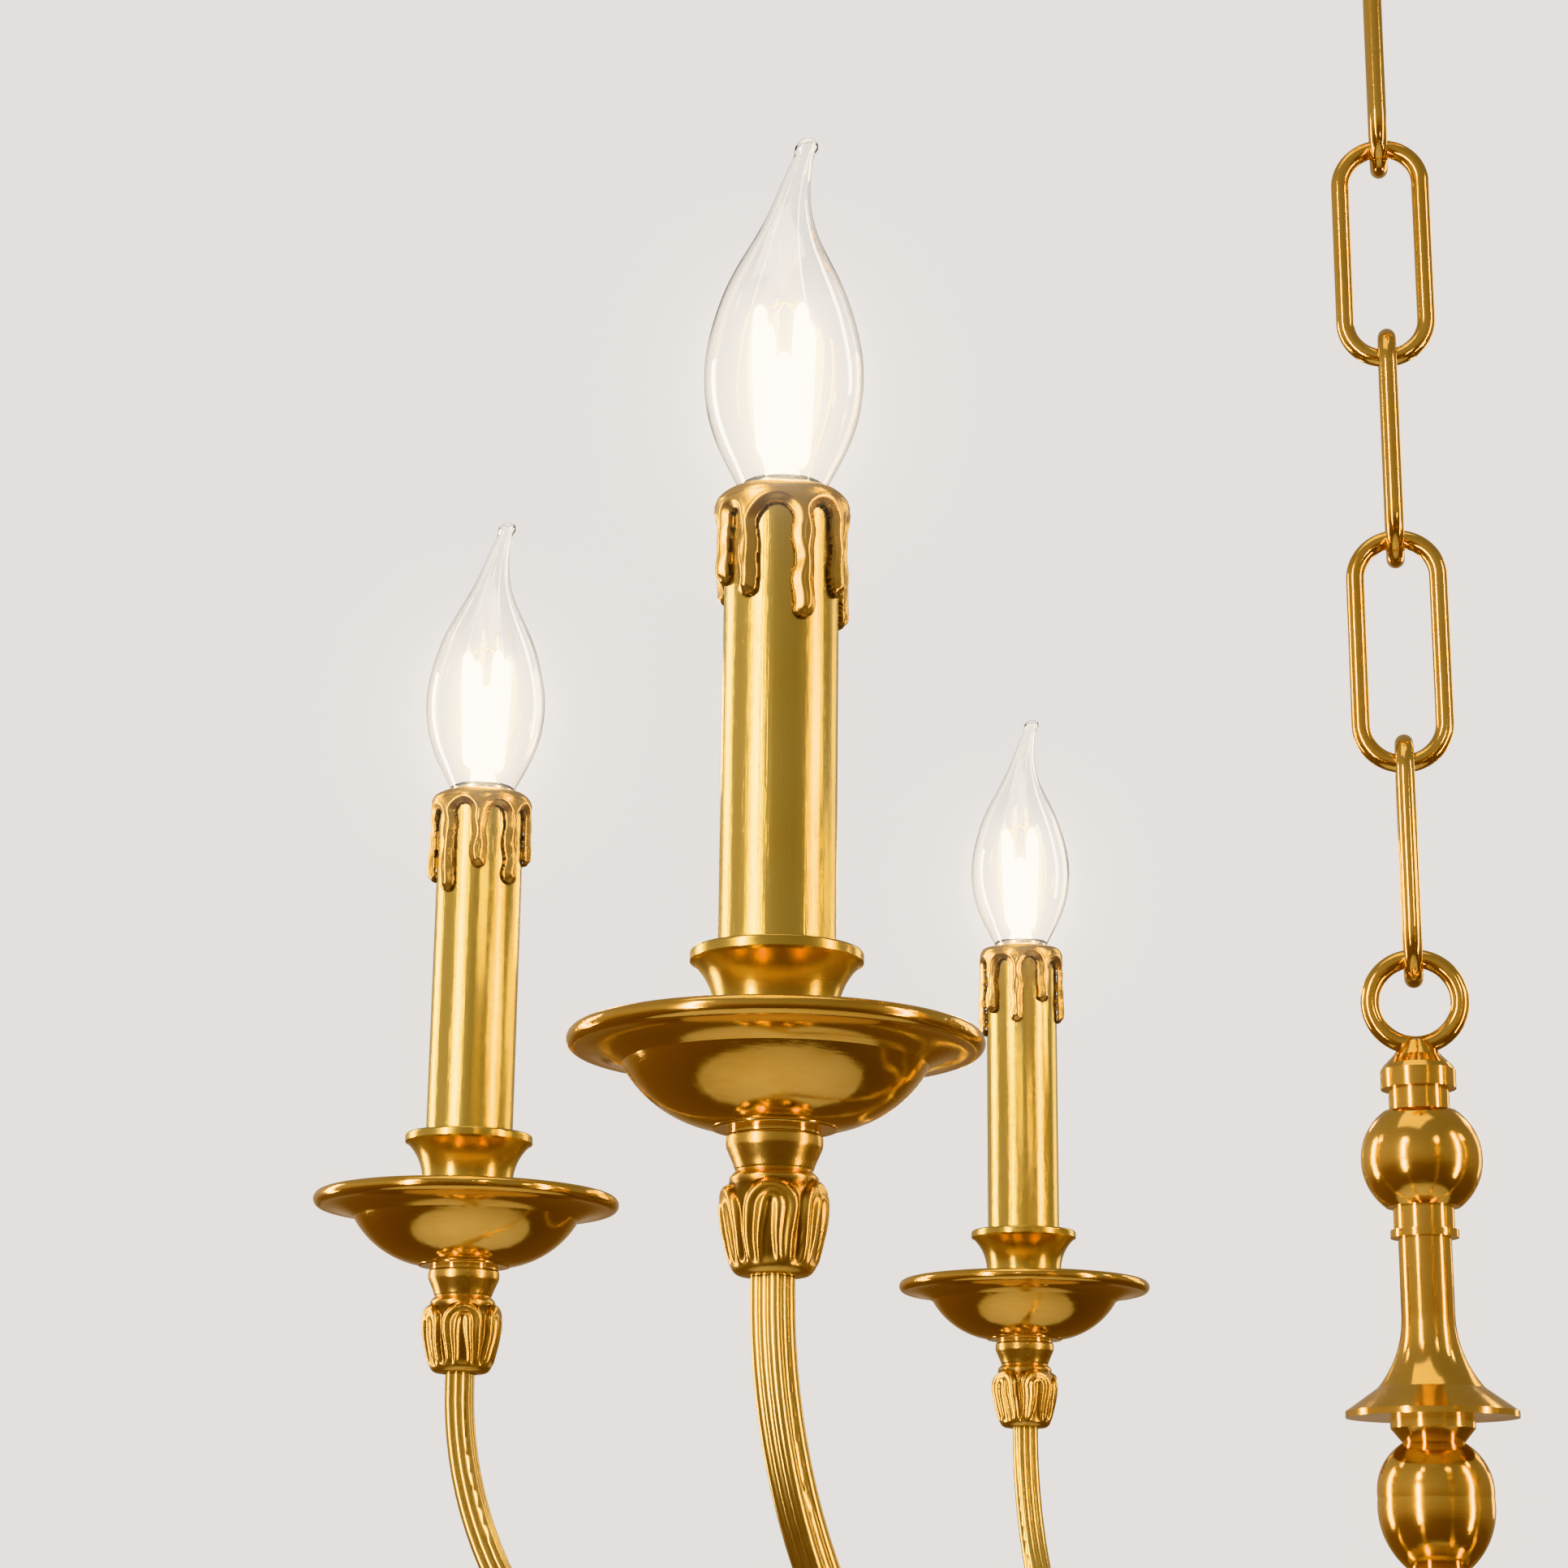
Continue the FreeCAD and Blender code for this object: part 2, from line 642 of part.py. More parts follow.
def make_lamp_sockets():
    """The six lamp sockets, each on a riser screwed to its arm's threaded stem."""
    sockets = []
    foot = pan_floor + cup_floor
    bore = stem_radius + sheet_gap
    outside = sleeve_radius - sleeve_wall - socket_side_gap
    inside = cap_radius + socket_cap_gap
    for number in range(arm_count):
        body = new_body("lamp_socket_{}".format(number + 1), keep=False)
        turned(body, "turning", [
            (bore, foot),
            (socket_foot_radius, foot),
            (socket_foot_radius, foot + socket_foot_height),
            (riser_radius, foot + socket_foot_height + 2.0),
            (riser_radius, socket_seat - socket_floor - 4.0),
            (outside, socket_seat - socket_floor),
            (outside, socket_top - 1.0),
            (outside - 1.0, socket_top),
            (inside, socket_top),
            (inside, socket_seat),
            (wire_radius * 2.0, socket_seat),
            (wire_radius * 2.0, socket_seat - socket_floor + 1.0),
            (bore, socket_seat - socket_floor - 1.0),
        ])
        place(body, arm_reach, -pan_drop, number * arm_step)
        sockets.append(body)
    group = document.addObject("Part::Compound", "lamp_sockets")
    group.Label = "lamp_sockets"
    group.Links = sockets
    exported.append(group)


def make_bulb(number, turn):
    """A flame-shaped lamp in two pieces: screw cap with its skirt, and blown glass."""
    base = new_body("bulb_base_{}".format(number))
    contact = socket_seat + 0.5
    shoulder = contact + cap_contact_height
    cap_top = socket_top + skirt_gap
    skirt_top = cap_top + cap_skirt_height
    turned(base, "cap", [
        (zero, contact),
        (cap_contact_radius, contact),
        (cap_contact_radius, contact + cap_contact_height / 2.0),
        (cap_radius - 1.5, shoulder),
        (cap_radius, shoulder + 1.5),
        (cap_radius, cap_top),
        (cap_skirt_radius - 0.6, cap_top),
        (cap_skirt_radius, cap_top + 0.6),
        (cap_skirt_radius, skirt_top),
        (zero, skirt_top),
    ])
    place(base, arm_reach, -pan_drop, turn)

    glass = new_body("bulb_glass_{}".format(number))
    foot = cap_top + 1.5
    belly = collar_level + glass_belly_rise
    waist = belly + (glass_height - glass_belly_rise) * 0.56
    waist_radius = glass_radius * 0.38
    tip = collar_level + glass_height
    throat = tip - glass_tip_radius * 2.6
    wall = glass_wall
    turned(glass, "blown_glass", [
        (cap_skirt_radius, foot),
        (lamp_neck_radius, foot),
        (lamp_neck_radius, collar_level),
        (glass_radius, belly, as_size(48.0)),
        (waist_radius, waist, as_size(38.0)),
        (glass_tip_radius, throat, as_size(-52.0)),
        (glass_tip_radius, tip - glass_tip_radius),
        (zero, tip, glass_tip_radius),
        (zero, throat - wall * 2.0),
        (waist_radius - wall, waist - wall, as_size(52.0)),
        (glass_radius - wall, belly, as_size(-37.0)),
        (cap_skirt_radius, collar_level, as_size(-47.0)),
    ])
    place(glass, arm_reach, -pan_drop, turn)


# ---------------------------------------------------------------- column

def column_body(label):
    body = new_body(label)
    place(body, zero, -pan_drop, 0.0)
    return body


def make_column():
    """Everything threaded on the tie rod, from the ball down to the finial."""
    bore = rod_radius + sheet_gap
    ball_bottom = ball_rise - ball_radius - ball_neck
    meridian = ball_radius * 0.8
    ball_flat = ball_radius * 0.6

    ball = column_body("column_ball")
    turned(ball, "turning", [
        (bore, ball_bottom),
        (column_neck_radius, ball_bottom),
        (column_neck_radius, ball_rise - meridian),
        (ball_flat + 0.2, ball_rise - meridian),
        (ball_radius, ball_rise, ball_radius),
        (ball_flat + 0.2, ball_rise + meridian, ball_radius),
        (column_neck_radius, ball_rise + meridian),
        (column_neck_radius, column_top),
        (bore, column_top),
    ])

    bell = column_body("column_bell")
    lip_top = bell_lip - bell_drop
    turned(bell, "turning", [
        (bore, -bell_drop),
        (bell_radius, -bell_drop),
        (bell_radius, lip_top),
        (bell_radius * 0.62, lip_top + bell_radius * 0.27),
        (column_neck_radius - 1.0, lip_top + bell_radius * 1.1, -(bell_radius * 1.3)),
        (column_neck_radius - 1.0, ball_bottom - 2.0),
        (column_neck_radius + 1.0, ball_bottom - 2.0),
        (column_neck_radius + 1.0, ball_bottom),
        (bore, ball_bottom),
    ])

    vase = column_body("column_vase")
    vase_height = -bell_drop - hub_top
    turned(vase, "turning", [
        (bore, hub_top),
        (vase_foot_radius, hub_top),
        (vase_foot_radius, hub_top + vase_height * 0.08),
        (column_neck_radius, hub_top + vase_height * 0.16),
        (vase_radius, hub_top + vase_height * 0.55, vase_height * 0.45),
        (column_neck_radius, hub_top + vase_height * 0.86, vase_height * 0.32),
        (vase_foot_radius, hub_top + vase_height * 0.94),
        (vase_foot_radius, -bell_drop),
        (bore, -bell_drop),
    ])

    hub = column_body("arm_hub")
    cavity_top = hub_axis + hub_cavity_height / 2.0
    turned(hub, "turning", [
        (bore, hub_top),
        (bore, cavity_top),
        (hub_cavity_radius, cavity_top),
        (hub_cavity_radius, hub_bottom),
        (hub_radius - 6.0, hub_bottom),
        (hub_radius, hub_axis - hub_band / 2.0, as_size(18.0)),
        (hub_radius, hub_axis + hub_band / 2.0),
        (hub_top_radius, hub_top - 2.0, -(hub_radius * 0.9)),
        (hub_top_radius, hub_top),
    ])
    spigot_hole = circle(hub, "YZ_Plane", "spigot_hole_circle", zero, hub_axis,
                         spigot_radius + sheet_gap, hub_cavity_radius - 2.0)
    hole = pocket(hub, "spigot_hole", spigot_hole, hub_radius, reverse=True)
    ring_of(hub, "spigot_holes", [hole], arm_count)

    finial = column_body("bottom_finial")
    bowl_bottom = hub_bottom - bowl_height
    lowest = hub_bottom - finial_drop
    ball_level = lowest + finial_ball_radius
    turned(finial, "turning", [
        (bore, hub_bottom + plug_height),
        (hub_cavity_radius - sheet_gap, hub_bottom + plug_height),
        (hub_cavity_radius - sheet_gap, hub_bottom),
        (bowl_radius, hub_bottom),
        (bowl_radius, hub_bottom - 2.5),
        (bowl_radius - 2.0, hub_bottom - 4.0),
        (column_neck_radius, bowl_bottom, as_size(-26.0)),
        (column_neck_radius, bowl_bottom - 3.0),
        (finial_ball_radius * 0.5, bowl_bottom - 6.0),
        (finial_ball_radius * 0.5, ball_level + finial_ball_radius * 0.866),
        (finial_ball_radius, ball_level, -finial_ball_radius),
        (zero, lowest, -finial_ball_radius),
        (zero, bowl_bottom),
        (bore, bowl_bottom),
    ])

    rod = column_body("tie_rod")
    rod_circle = circle(rod, "XY_Plane", "rod_circle", zero, zero, rod_radius, bowl_bottom)
    rod_top = column_top + loop_collar_height - 3.0
    pad(rod, "rod", rod_circle, rod_top - bowl_bottom)

    make_ring("column_loop", column_top - pan_drop, rod_radius + sheet_gap,
              loop_collar_height - 3.0, upright=True)


# ---------------------------------------------------------------- suspension

def make_ring(label, base_level, bore, bore_depth, upright):
    """A closed ring on a turned collar that is screwed on a rod or a nipple."""
    body = new_body(label)
    side = 1.0 if upright else -1.0
    neck = loop_collar_height * side
    ring_level = (loop_collar_height + ring_bend) * side
    corners = [
        (bore, zero),
        (bore, bore_depth * side),
        (zero, bore_depth * side),
        (zero, neck + ring_wire * side),
        (ring_wire + 1.2, neck + ring_wire * side * 0.4),
        (loop_collar_radius - 3.5, neck - 3.0 * side),
        (loop_collar_radius - 1.0, neck - 5.5 * side),
        (loop_collar_radius, neck - 7.0 * side),
        (loop_collar_radius, zero),
    ]
    turned(body, "collar", corners)
    ring = body.newObject("PartDesign::AdditiveTorus", "ring")
    ring.Radius1 = ring_bend.value
    ring.Radius2 = ring_wire.value
    ring.setExpression("Radius1", ring_bend.formula)
    ring.setExpression("Radius2", ring_wire.formula)
    ring.Placement = Placement(Vector(0, 0, ring_level.value),
                               Rotation(Vector(1, 0, 0), 90))
    ring.setExpression("Placement.Base.z", ring_level.formula)
    body.Tip = ring
    place(body, zero, base_level, 0.0)


def make_chain_link(number, centre_level):
    """An oval link; neighbours stand a quarter turn apart."""
    body = new_body("chain_link_{}".format(number))
    straight = link_inner_half - link_bend
    path = draw(body, "XZ_Plane", "link_line", [
        (link_bend, -straight),
        (link_bend, straight),
        (zero, link_inner_half, link_bend),
        (-link_bend, straight, link_bend),
        (-link_bend, -straight),
        (zero, -link_inner_half, link_bend),
        (link_bend, -straight, link_bend),
    ], closed=False)
    wire = circle(body, "XY_Plane", "wire_circle", link_bend, zero, ring_wire, -straight)
    pipe(body, "wire", wire, path)
    place(body, zero, centre_level, 90.0 if number % 2 else 0.0)


def make_suspension():
    """Bracket, canopy, canopy loop and the chain links between the two rings."""
    bracket = new_body("ceiling_bracket")
    half_length = bracket_length / 2.0
    half_width = bracket_width / 2.0
    plate = draw(bracket, "XY_Plane", "plate_outline", [
        (-half_length, -half_width),
        (half_length, -half_width),
        (half_length, half_width),
        (-half_length, half_width),
    ], level=-bracket_thickness)
    pad(bracket, "plate", plate, bracket_thickness)
    nipple = circle(bracket, "XY_Plane", "nipple_circle", zero, zero, nipple_radius,
                    -nipple_length)
    pad(bracket, "nipple", nipple, nipple_length - bracket_thickness / 2.0)
    holes = circle(bracket, "XY_Plane", "hole_circles", zero, zero, nipple_bore)
    half_spacing = bracket_hole_spacing / 2.0
    add_circle(holes, -half_spacing, zero, bracket_hole_radius)
    add_circle(holes, half_spacing, zero, bracket_hole_radius)
    pocket(bracket, "holes", holes, nipple_length)
    place(bracket, zero, zero, 0.0)

    canopy = new_body("ceiling_canopy")
    hole = nipple_radius + sheet_gap
    inside = canopy_radius - canopy_wall
    shoulder = -(canopy_band + 2.0)
    turned(canopy, "spinning", [
        (canopy_radius, zero),
        (canopy_radius, -canopy_band),
        (canopy_radius - 3.0, shoulder),
        (canopy_neck_radius, -(canopy_depth - 3.0), -(canopy_radius * 1.1)),
        (canopy_neck_radius, -canopy_depth),
        (hole, -canopy_depth),
        (hole, canopy_wall - canopy_depth),
        (canopy_neck_radius - canopy_wall, canopy_wall - canopy_depth),
        (canopy_neck_radius - canopy_wall, canopy_wall * 0.8 - (canopy_depth - 3.0)),
        (canopy_radius - 3.0 - canopy_wall * 0.95, shoulder + canopy_wall * 0.32,
         canopy_radius * 1.1 - canopy_wall),
        (inside, canopy_wall - canopy_band),
        (inside, zero),
    ])
    place(canopy, zero, zero, 0.0)

    make_ring("canopy_loop", -canopy_depth, hole, nipple_length - canopy_depth + 0.5,
              upright=False)

    for number in range(1, link_count + 1):
        drop = link_inner_half - wire_crossing + link_pitch * (number - 1)
        make_chain_link(number, upper_ring_wire - drop)


# ---------------------------------------------------------------- assembly

make_suspension()
make_column()
for index in range(arm_count):
    arm_turn = index * arm_step
    make_arm(index + 1, arm_turn)
    make_leaf_fitting(index + 1, arm_turn)
    make_drip_pan(index + 1, arm_turn)
    make_candle_cup(index + 1, arm_turn)
    make_candle_sleeve(index + 1, arm_turn)
    make_bulb(index + 1, arm_turn)
make_wires()
make_drip_collars()
make_lamp_sockets()

document.recompute()
failed = [item.Label for item in document.Objects
          if "Invalid" in item.State or "Error" in item.State]
for part in exported:
    if part.Shape.isNull() or not part.Shape.isValid():
        failed.append(part.Label)
if failed:
    raise RuntimeError("these objects failed: " + ", ".join(failed))

os.makedirs("parts", exist_ok=True)
for part in exported:
    part.Shape.exportStep("parts/" + part.Label + ".step")
print(len(exported), "nodes written")
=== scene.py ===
# %% [markdown]
# # A brass chandelier with six candle lamps
# Six reeded arms sweep out from a turned column and turn up to carry drip pans, candle cups,
# brass sleeves with cast wax drips, and flame-tip lamps. The whole fitting hangs by a short
# chain from a ceiling canopy.
#
# The engineering model comes first and is never altered here. This lesson gives it its
# finishes, and models again, in finer detail, the castings and the lamps.

# %% Load the fixed frame
import math

import bpy
from mathutils import Matrix, Vector


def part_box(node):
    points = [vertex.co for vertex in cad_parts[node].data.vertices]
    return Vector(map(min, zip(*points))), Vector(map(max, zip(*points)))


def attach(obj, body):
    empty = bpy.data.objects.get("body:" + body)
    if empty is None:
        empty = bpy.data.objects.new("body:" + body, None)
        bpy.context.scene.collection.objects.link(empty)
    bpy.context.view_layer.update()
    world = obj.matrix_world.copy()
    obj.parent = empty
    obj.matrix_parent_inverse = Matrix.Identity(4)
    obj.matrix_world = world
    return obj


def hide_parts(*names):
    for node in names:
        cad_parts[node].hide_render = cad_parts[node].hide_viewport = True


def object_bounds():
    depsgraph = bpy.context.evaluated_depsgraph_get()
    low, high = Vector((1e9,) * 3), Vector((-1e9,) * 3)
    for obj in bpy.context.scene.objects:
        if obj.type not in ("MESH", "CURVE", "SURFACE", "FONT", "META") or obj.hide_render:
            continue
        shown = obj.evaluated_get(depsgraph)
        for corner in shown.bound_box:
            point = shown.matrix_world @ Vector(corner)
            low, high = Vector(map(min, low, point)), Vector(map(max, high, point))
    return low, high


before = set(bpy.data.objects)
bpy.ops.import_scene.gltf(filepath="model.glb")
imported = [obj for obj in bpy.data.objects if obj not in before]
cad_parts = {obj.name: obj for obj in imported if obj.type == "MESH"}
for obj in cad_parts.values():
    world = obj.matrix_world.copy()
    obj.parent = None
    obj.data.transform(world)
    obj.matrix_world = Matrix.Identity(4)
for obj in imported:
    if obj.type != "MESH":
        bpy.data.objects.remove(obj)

cad_low, cad_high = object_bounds()
print("box:", [round(side, 3) for side in cad_high - cad_low])

# %% [markdown]
# Lengths in the workshop are in millimetres, and those of the scene are in metres, so one
# constant turns one into the other. The six candles stand at equal steps round the column. Each
# one's middle is read from its sleeve's box, so that no candle's place is typed in by hand.

# %% Where the candles stand
MM = 0.001
ARMS = range(1, 7)
ARM_STEP = math.radians(60.0)


def middle(node):
    low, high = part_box(node)
    return (low + high) / 2.0


candle_middle = {}
for arm in ARMS:
    candle_middle[arm] = middle("candle_sleeve_" + str(arm))
collar_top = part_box("drip_collars")[1].z
pan_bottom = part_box("drip_pan_1")[0].z
print("collar top:", round(collar_top, 4), "pan bottom:", round(pan_bottom, 4))

# %% [markdown]
# ## The camera
# A visitor looks up at a chandelier from below and from close by. The camera stands in front
# of one candle and lower than its pan. It is tilted up by about fifteen degrees, turned a
# little to the left and rolled by less than one degree. A long lens keeps the uprights nearly
# parallel. Depth of field stays off, so that every candle can be studied.

# %% Camera
CAMERA_RISE = math.radians(15.34)
CAMERA_TURN = math.radians(10.6)
CAMERA_ROLL = math.radians(-0.65)
CAMERA_BELOW_PAN = 0.1198
CAMERA_ACROSS = -0.0135
CAMERA_FRONT = -0.8490
CAMERA_LENS = 71.55
camera_data = bpy.data.cameras.new("visitor_eye")
camera_data.sensor_width = 36.0
camera_data.lens = CAMERA_LENS
camera_data.clip_start = 0.01
camera = bpy.data.objects.new("visitor_eye", camera_data)
camera_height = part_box("drip_pan_1")[1].z - CAMERA_BELOW_PAN
camera.location = (CAMERA_ACROSS, CAMERA_FRONT, camera_height)
camera.rotation_euler = (math.pi / 2.0 + CAMERA_RISE, CAMERA_ROLL, CAMERA_TURN)
bpy.context.scene.collection.objects.link(camera)
bpy.context.scene.camera = camera
print("camera to front candle:", round((candle_middle[5] - camera.location).length, 3), "m")

# %% [markdown]
# ## Helpers for modelling by hand
# An operator works on everything that is selected, and the loaded frame is selected, so each
# piece starts by clearing the selection. A turned piece is made as a lathe hand would think of
# it: a circle is added, then extruded and scaled from one ring to the next. Subdivision then
# rounds it, and the modifier is applied so that the mesh is final.

# %% Start, finish and turn a piece
def clear_selection():
    if bpy.context.object and bpy.context.object.mode != "OBJECT":
        bpy.ops.object.mode_set(mode="OBJECT")
    bpy.ops.object.select_all(action="DESELECT")


def select_where(piece, kind, rule):
    """Selects the points, edges or faces of a piece that a rule picks, and opens edit mode."""
    clear_selection()
    piece.select_set(True)
    bpy.context.view_layer.objects.active = piece
    bpy.ops.object.mode_set(mode="EDIT")
    bpy.ops.mesh.select_mode(type=kind)
    bpy.ops.mesh.select_all(action="DESELECT")
    bpy.ops.object.mode_set(mode="OBJECT")
    parts = {"VERT": piece.data.vertices, "EDGE": piece.data.edges, "FACE": piece.data.polygons}
    for part in parts[kind]:
        part.select = rule(part)
    bpy.ops.object.mode_set(mode="EDIT")


def settle(piece):
    """Puts the object's origin at the frame's origin, with its place in its mesh."""
    clear_selection()
    piece.select_set(True)
    bpy.context.view_layer.objects.active = piece
    bpy.ops.object.transform_apply(location=True, rotation=True, scale=True)
    bpy.ops.object.mode_set(mode="EDIT")
    bpy.ops.mesh.select_all(action="SELECT")
    bpy.ops.mesh.remove_doubles(threshold=0.000002)
    bpy.ops.mesh.normals_make_consistent(inside=False)
    bpy.ops.object.mode_set(mode="OBJECT")


def apply_modifier(piece, kind, **settings):
    bpy.context.view_layer.objects.active = piece
    modifier = piece.modifiers.new(kind.lower(), kind)
    for name, value in settings.items():
        setattr(modifier, name, value)
    bpy.ops.object.modifier_apply(modifier=modifier.name)


def shade_smooth(piece):
    clear_selection()
    piece.select_set(True)
    bpy.context.view_layer.objects.active = piece
    bpy.ops.object.shade_smooth()


def join(pieces):
    """Joins pieces into the first one, with smooth shading."""
    clear_selection()
    for piece in pieces:
        piece.select_set(True)
    bpy.context.view_layer.objects.active = pieces[0]
    bpy.ops.object.join()
    bpy.ops.object.shade_smooth()
    return pieces[0]


def extrude_rings(radius, height, rings):
    """Carries the selected ring on through rings of (radius, height) in millimetres."""
    for next_radius, next_height in rings:
        bpy.ops.mesh.extrude_edges_move(
            TRANSFORM_OT_translate={"value": (0.0, 0.0, (next_height - height) * MM)})
        ratio = next_radius / radius
        bpy.ops.transform.resize(value=(ratio, ratio, 1.0),
                                 center_override=(0.0, 0.0, next_height * MM))
        radius, height = next_radius, next_height


def turned(name, rings, segments, smooth_levels, close_start=False, close_end=False):
    """A lathe-turned piece on the Z axis, through rings of (radius, height) in millimetres."""
    clear_selection()
    radius, height = rings[0]
    bpy.ops.mesh.primitive_circle_add(vertices=segments, radius=radius * MM,
                                      fill_type="NOTHING", location=(0.0, 0.0, height * MM))
    piece = bpy.context.object
    piece.name = name
    bpy.ops.object.transform_apply(location=True, rotation=True, scale=True)
    bpy.ops.object.mode_set(mode="EDIT")
    bpy.ops.mesh.select_mode(type="VERT")
    bpy.ops.mesh.select_all(action="SELECT")
    if close_start:
        bpy.ops.mesh.extrude_edges_move()
        bpy.ops.mesh.merge(type="CENTER")
        bpy.ops.object.mode_set(mode="OBJECT")
        select_where(piece, "VERT", lambda point: point.co.xy.length > 0.5 * radius * MM)
    extrude_rings(radius, height, rings[1:])
    if close_end:
        bpy.ops.mesh.extrude_edges_move()
        bpy.ops.mesh.merge(type="CENTER")
    bpy.ops.object.mode_set(mode="OBJECT")
    settle(piece)
    if smooth_levels:
        apply_modifier(piece, "SUBSURF", levels=smooth_levels, render_levels=smooth_levels)
    return piece


# %% [markdown]
# ## Finishes
# Every finish is worked out by nodes from Object coordinates. The pieces all sit at the origin,
# so one pattern runs over the whole fitting at its true scale. Metals differ in three ways: how
# the colour drifts with tarnish, how rough the polish is, and which way the tool marks run.

# %% Node helpers
def new_finish(name):
    finish = bpy.data.materials.new(name)
    finish.use_nodes = True
    tree = finish.node_tree
    shader = tree.nodes["Principled BSDF"]
    place = tree.nodes.new("ShaderNodeTexCoord")
    return finish, tree, shader, place.outputs["Object"]


def noise(tree, place, stretch, detail=4.0, roughness=0.55):
    """Noise whose cells measure one over stretch, in metres, along each axis."""
    mapping = tree.nodes.new("ShaderNodeMapping")
    mapping.inputs["Scale"].default_value = stretch
    tree.links.new(place, mapping.inputs["Vector"])
    cells = tree.nodes.new("ShaderNodeTexNoise")
    cells.inputs["Scale"].default_value = 1.0
    cells.inputs["Detail"].default_value = detail
    cells.inputs["Roughness"].default_value = roughness
    tree.links.new(mapping.outputs["Vector"], cells.inputs["Vector"])
    return cells.outputs["Fac"]


def spread(tree, source, low, high, start=0.3, stop=0.7):
    """Maps the useful middle of a pattern onto the range low to high."""
    stretch = tree.nodes.new("ShaderNodeMapRange")
    stretch.inputs["From Min"].default_value = start
    stretch.inputs["From Max"].default_value = stop
    stretch.inputs["To Min"].default_value = low
    stretch.inputs["To Max"].default_value = high
    tree.links.new(source, stretch.inputs["Value"])
    return stretch.outputs["Result"]


def add(tree, first, second):
    total = tree.nodes.new("ShaderNodeMath")
    total.operation = "ADD"
    tree.links.new(first, total.inputs[0])
    tree.links.new(second, total.inputs[1])
    return total.outputs["Value"]


def tint(tree, source, stops):
    """A colour for each stop of (position, colour), blended between them."""
    ramp = tree.nodes.new("ShaderNodeValToRGB")
    while len(ramp.color_ramp.elements) < len(stops):
        ramp.color_ramp.elements.new(0.5)
    for element, (position, colour) in zip(ramp.color_ramp.elements, stops):
        element.position = position
        element.color = colour + (1.0,)
    tree.links.new(source, ramp.inputs["Fac"])
    return ramp.outputs["Color"]


def darken(tree, amount, base, dark):
    """The base colour, moved towards one dark colour by an amount from 0 to 1."""
    mix = tree.nodes.new("ShaderNodeMix")
    mix.data_type = "RGBA"
    mix.inputs["B"].default_value = dark + (1.0,)
    tree.links.new(amount, mix.inputs["Factor"])
    tree.links.new(base, mix.inputs["A"])
    return mix.outputs["Result"]


def emboss(tree, shader, height, distance, strength):
    bump = tree.nodes.new("ShaderNodeBump")
    bump.inputs["Distance"].default_value = distance
    bump.inputs["Strength"].default_value = strength
    tree.links.new(height, bump.inputs["Height"])
    tree.links.new(bump.outputs["Normal"], shader.inputs["Normal"])


# %% [markdown]
# Brass is copper with zinc. Bare and polished it is a warm yellow, a thin tarnish turns it
# towards olive brown, and where it is handled it stays bright. One recipe makes all the
# metals: colour drift, a roughness that varies with fine scratches, and a shallow bump. A
# casting's hollows are also darkened, where its mesh says that it is hollow: dark tarnish and
# painted shade.

# %% Metal recipe
def metal(name, bright, deep, polish, streaks, mark_depth, dark=None):
    finish, tree, shader, place = new_finish(name)
    shader.inputs["Metallic"].default_value = 1.0
    cloud = noise(tree, place, (38.0, 38.0, 30.0), detail=5.0)
    fine = noise(tree, place, streaks, detail=6.0, roughness=0.62)
    specks = noise(tree, place, (900.0, 900.0, 900.0), detail=2.0)
    colour = tint(tree, add(tree, spread(tree, cloud, 0.0, 0.75),
                            spread(tree, fine, 0.0, 0.25)),
                  [(0.0, bright), (0.55, tuple((a + b) / 2.0 for a, b in zip(bright, deep))),
                   (1.0, deep)])
    # Dark tarnish and painted shade in a casting's hollows, read from its hollow attribute.
    if dark is not None:
        hollow = tree.nodes.new("ShaderNodeAttribute")
        hollow.attribute_name = "hollow"
        shade = spread(tree, hollow.outputs["Fac"], 0.0, 0.85, 0.1, 1.0)
        colour = darken(tree, shade, colour, dark)
    tree.links.new(colour, shader.inputs["Base Color"])
    low, high = polish
    tree.links.new(add(tree, spread(tree, cloud, low, (low + high) / 2.0),
                       spread(tree, fine, 0.0, (high - low) / 2.0)),
                   shader.inputs["Roughness"])
    emboss(tree, shader, add(tree, spread(tree, fine, 0.0, 1.0), spread(tree, specks, 0.0, 0.15)),
           mark_depth, 1.0)
    return finish


polished_brass = metal("polished_brass", (0.88, 0.59, 0.21), (0.74, 0.43, 0.11),
                       (0.06, 0.19), (160.0, 160.0, 900.0), 0.000012)
# The cups get a darker, rougher copy of the polished brass: the darker colour is painted shade,
# for the dim cove of each cup.
shaded_cup_brass = metal("shaded_cup_brass", (0.76, 0.56, 0.20), (0.58, 0.38, 0.10),
                  (0.17, 0.29), (160.0, 160.0, 900.0), 0.000010)
cast_brass = metal("cast_brass", (0.84, 0.62, 0.24), (0.68, 0.45, 0.14),
                   (0.19, 0.31), (240.0, 240.0, 240.0), 0.000004)
satin_brass = metal("satin_brass", (0.85, 0.64, 0.23), (0.71, 0.50, 0.14),
                    (0.12, 0.25), (2400.0, 2400.0, 14.0), 0.00002)
# The sculpted brass darkens its hollows with tarnish and painted shade.
sculpted_brass = metal("sculpted_brass", (0.86, 0.59, 0.22), (0.63, 0.38, 0.10),
                       (0.20, 0.32), (500.0, 500.0, 220.0), 0.000015, dark=(0.20, 0.09, 0.02))
print("brasses:", polished_brass.name, shaded_cup_brass.name, cast_brass.name, satin_brass.name,
      sculpted_brass.name)

# %% [markdown]
# The hidden parts have finishes of their own: a nickel-plated lamp cap, a glazed white lamp
# socket, a plastic wire jacket and a zinc-plated ceiling bracket.

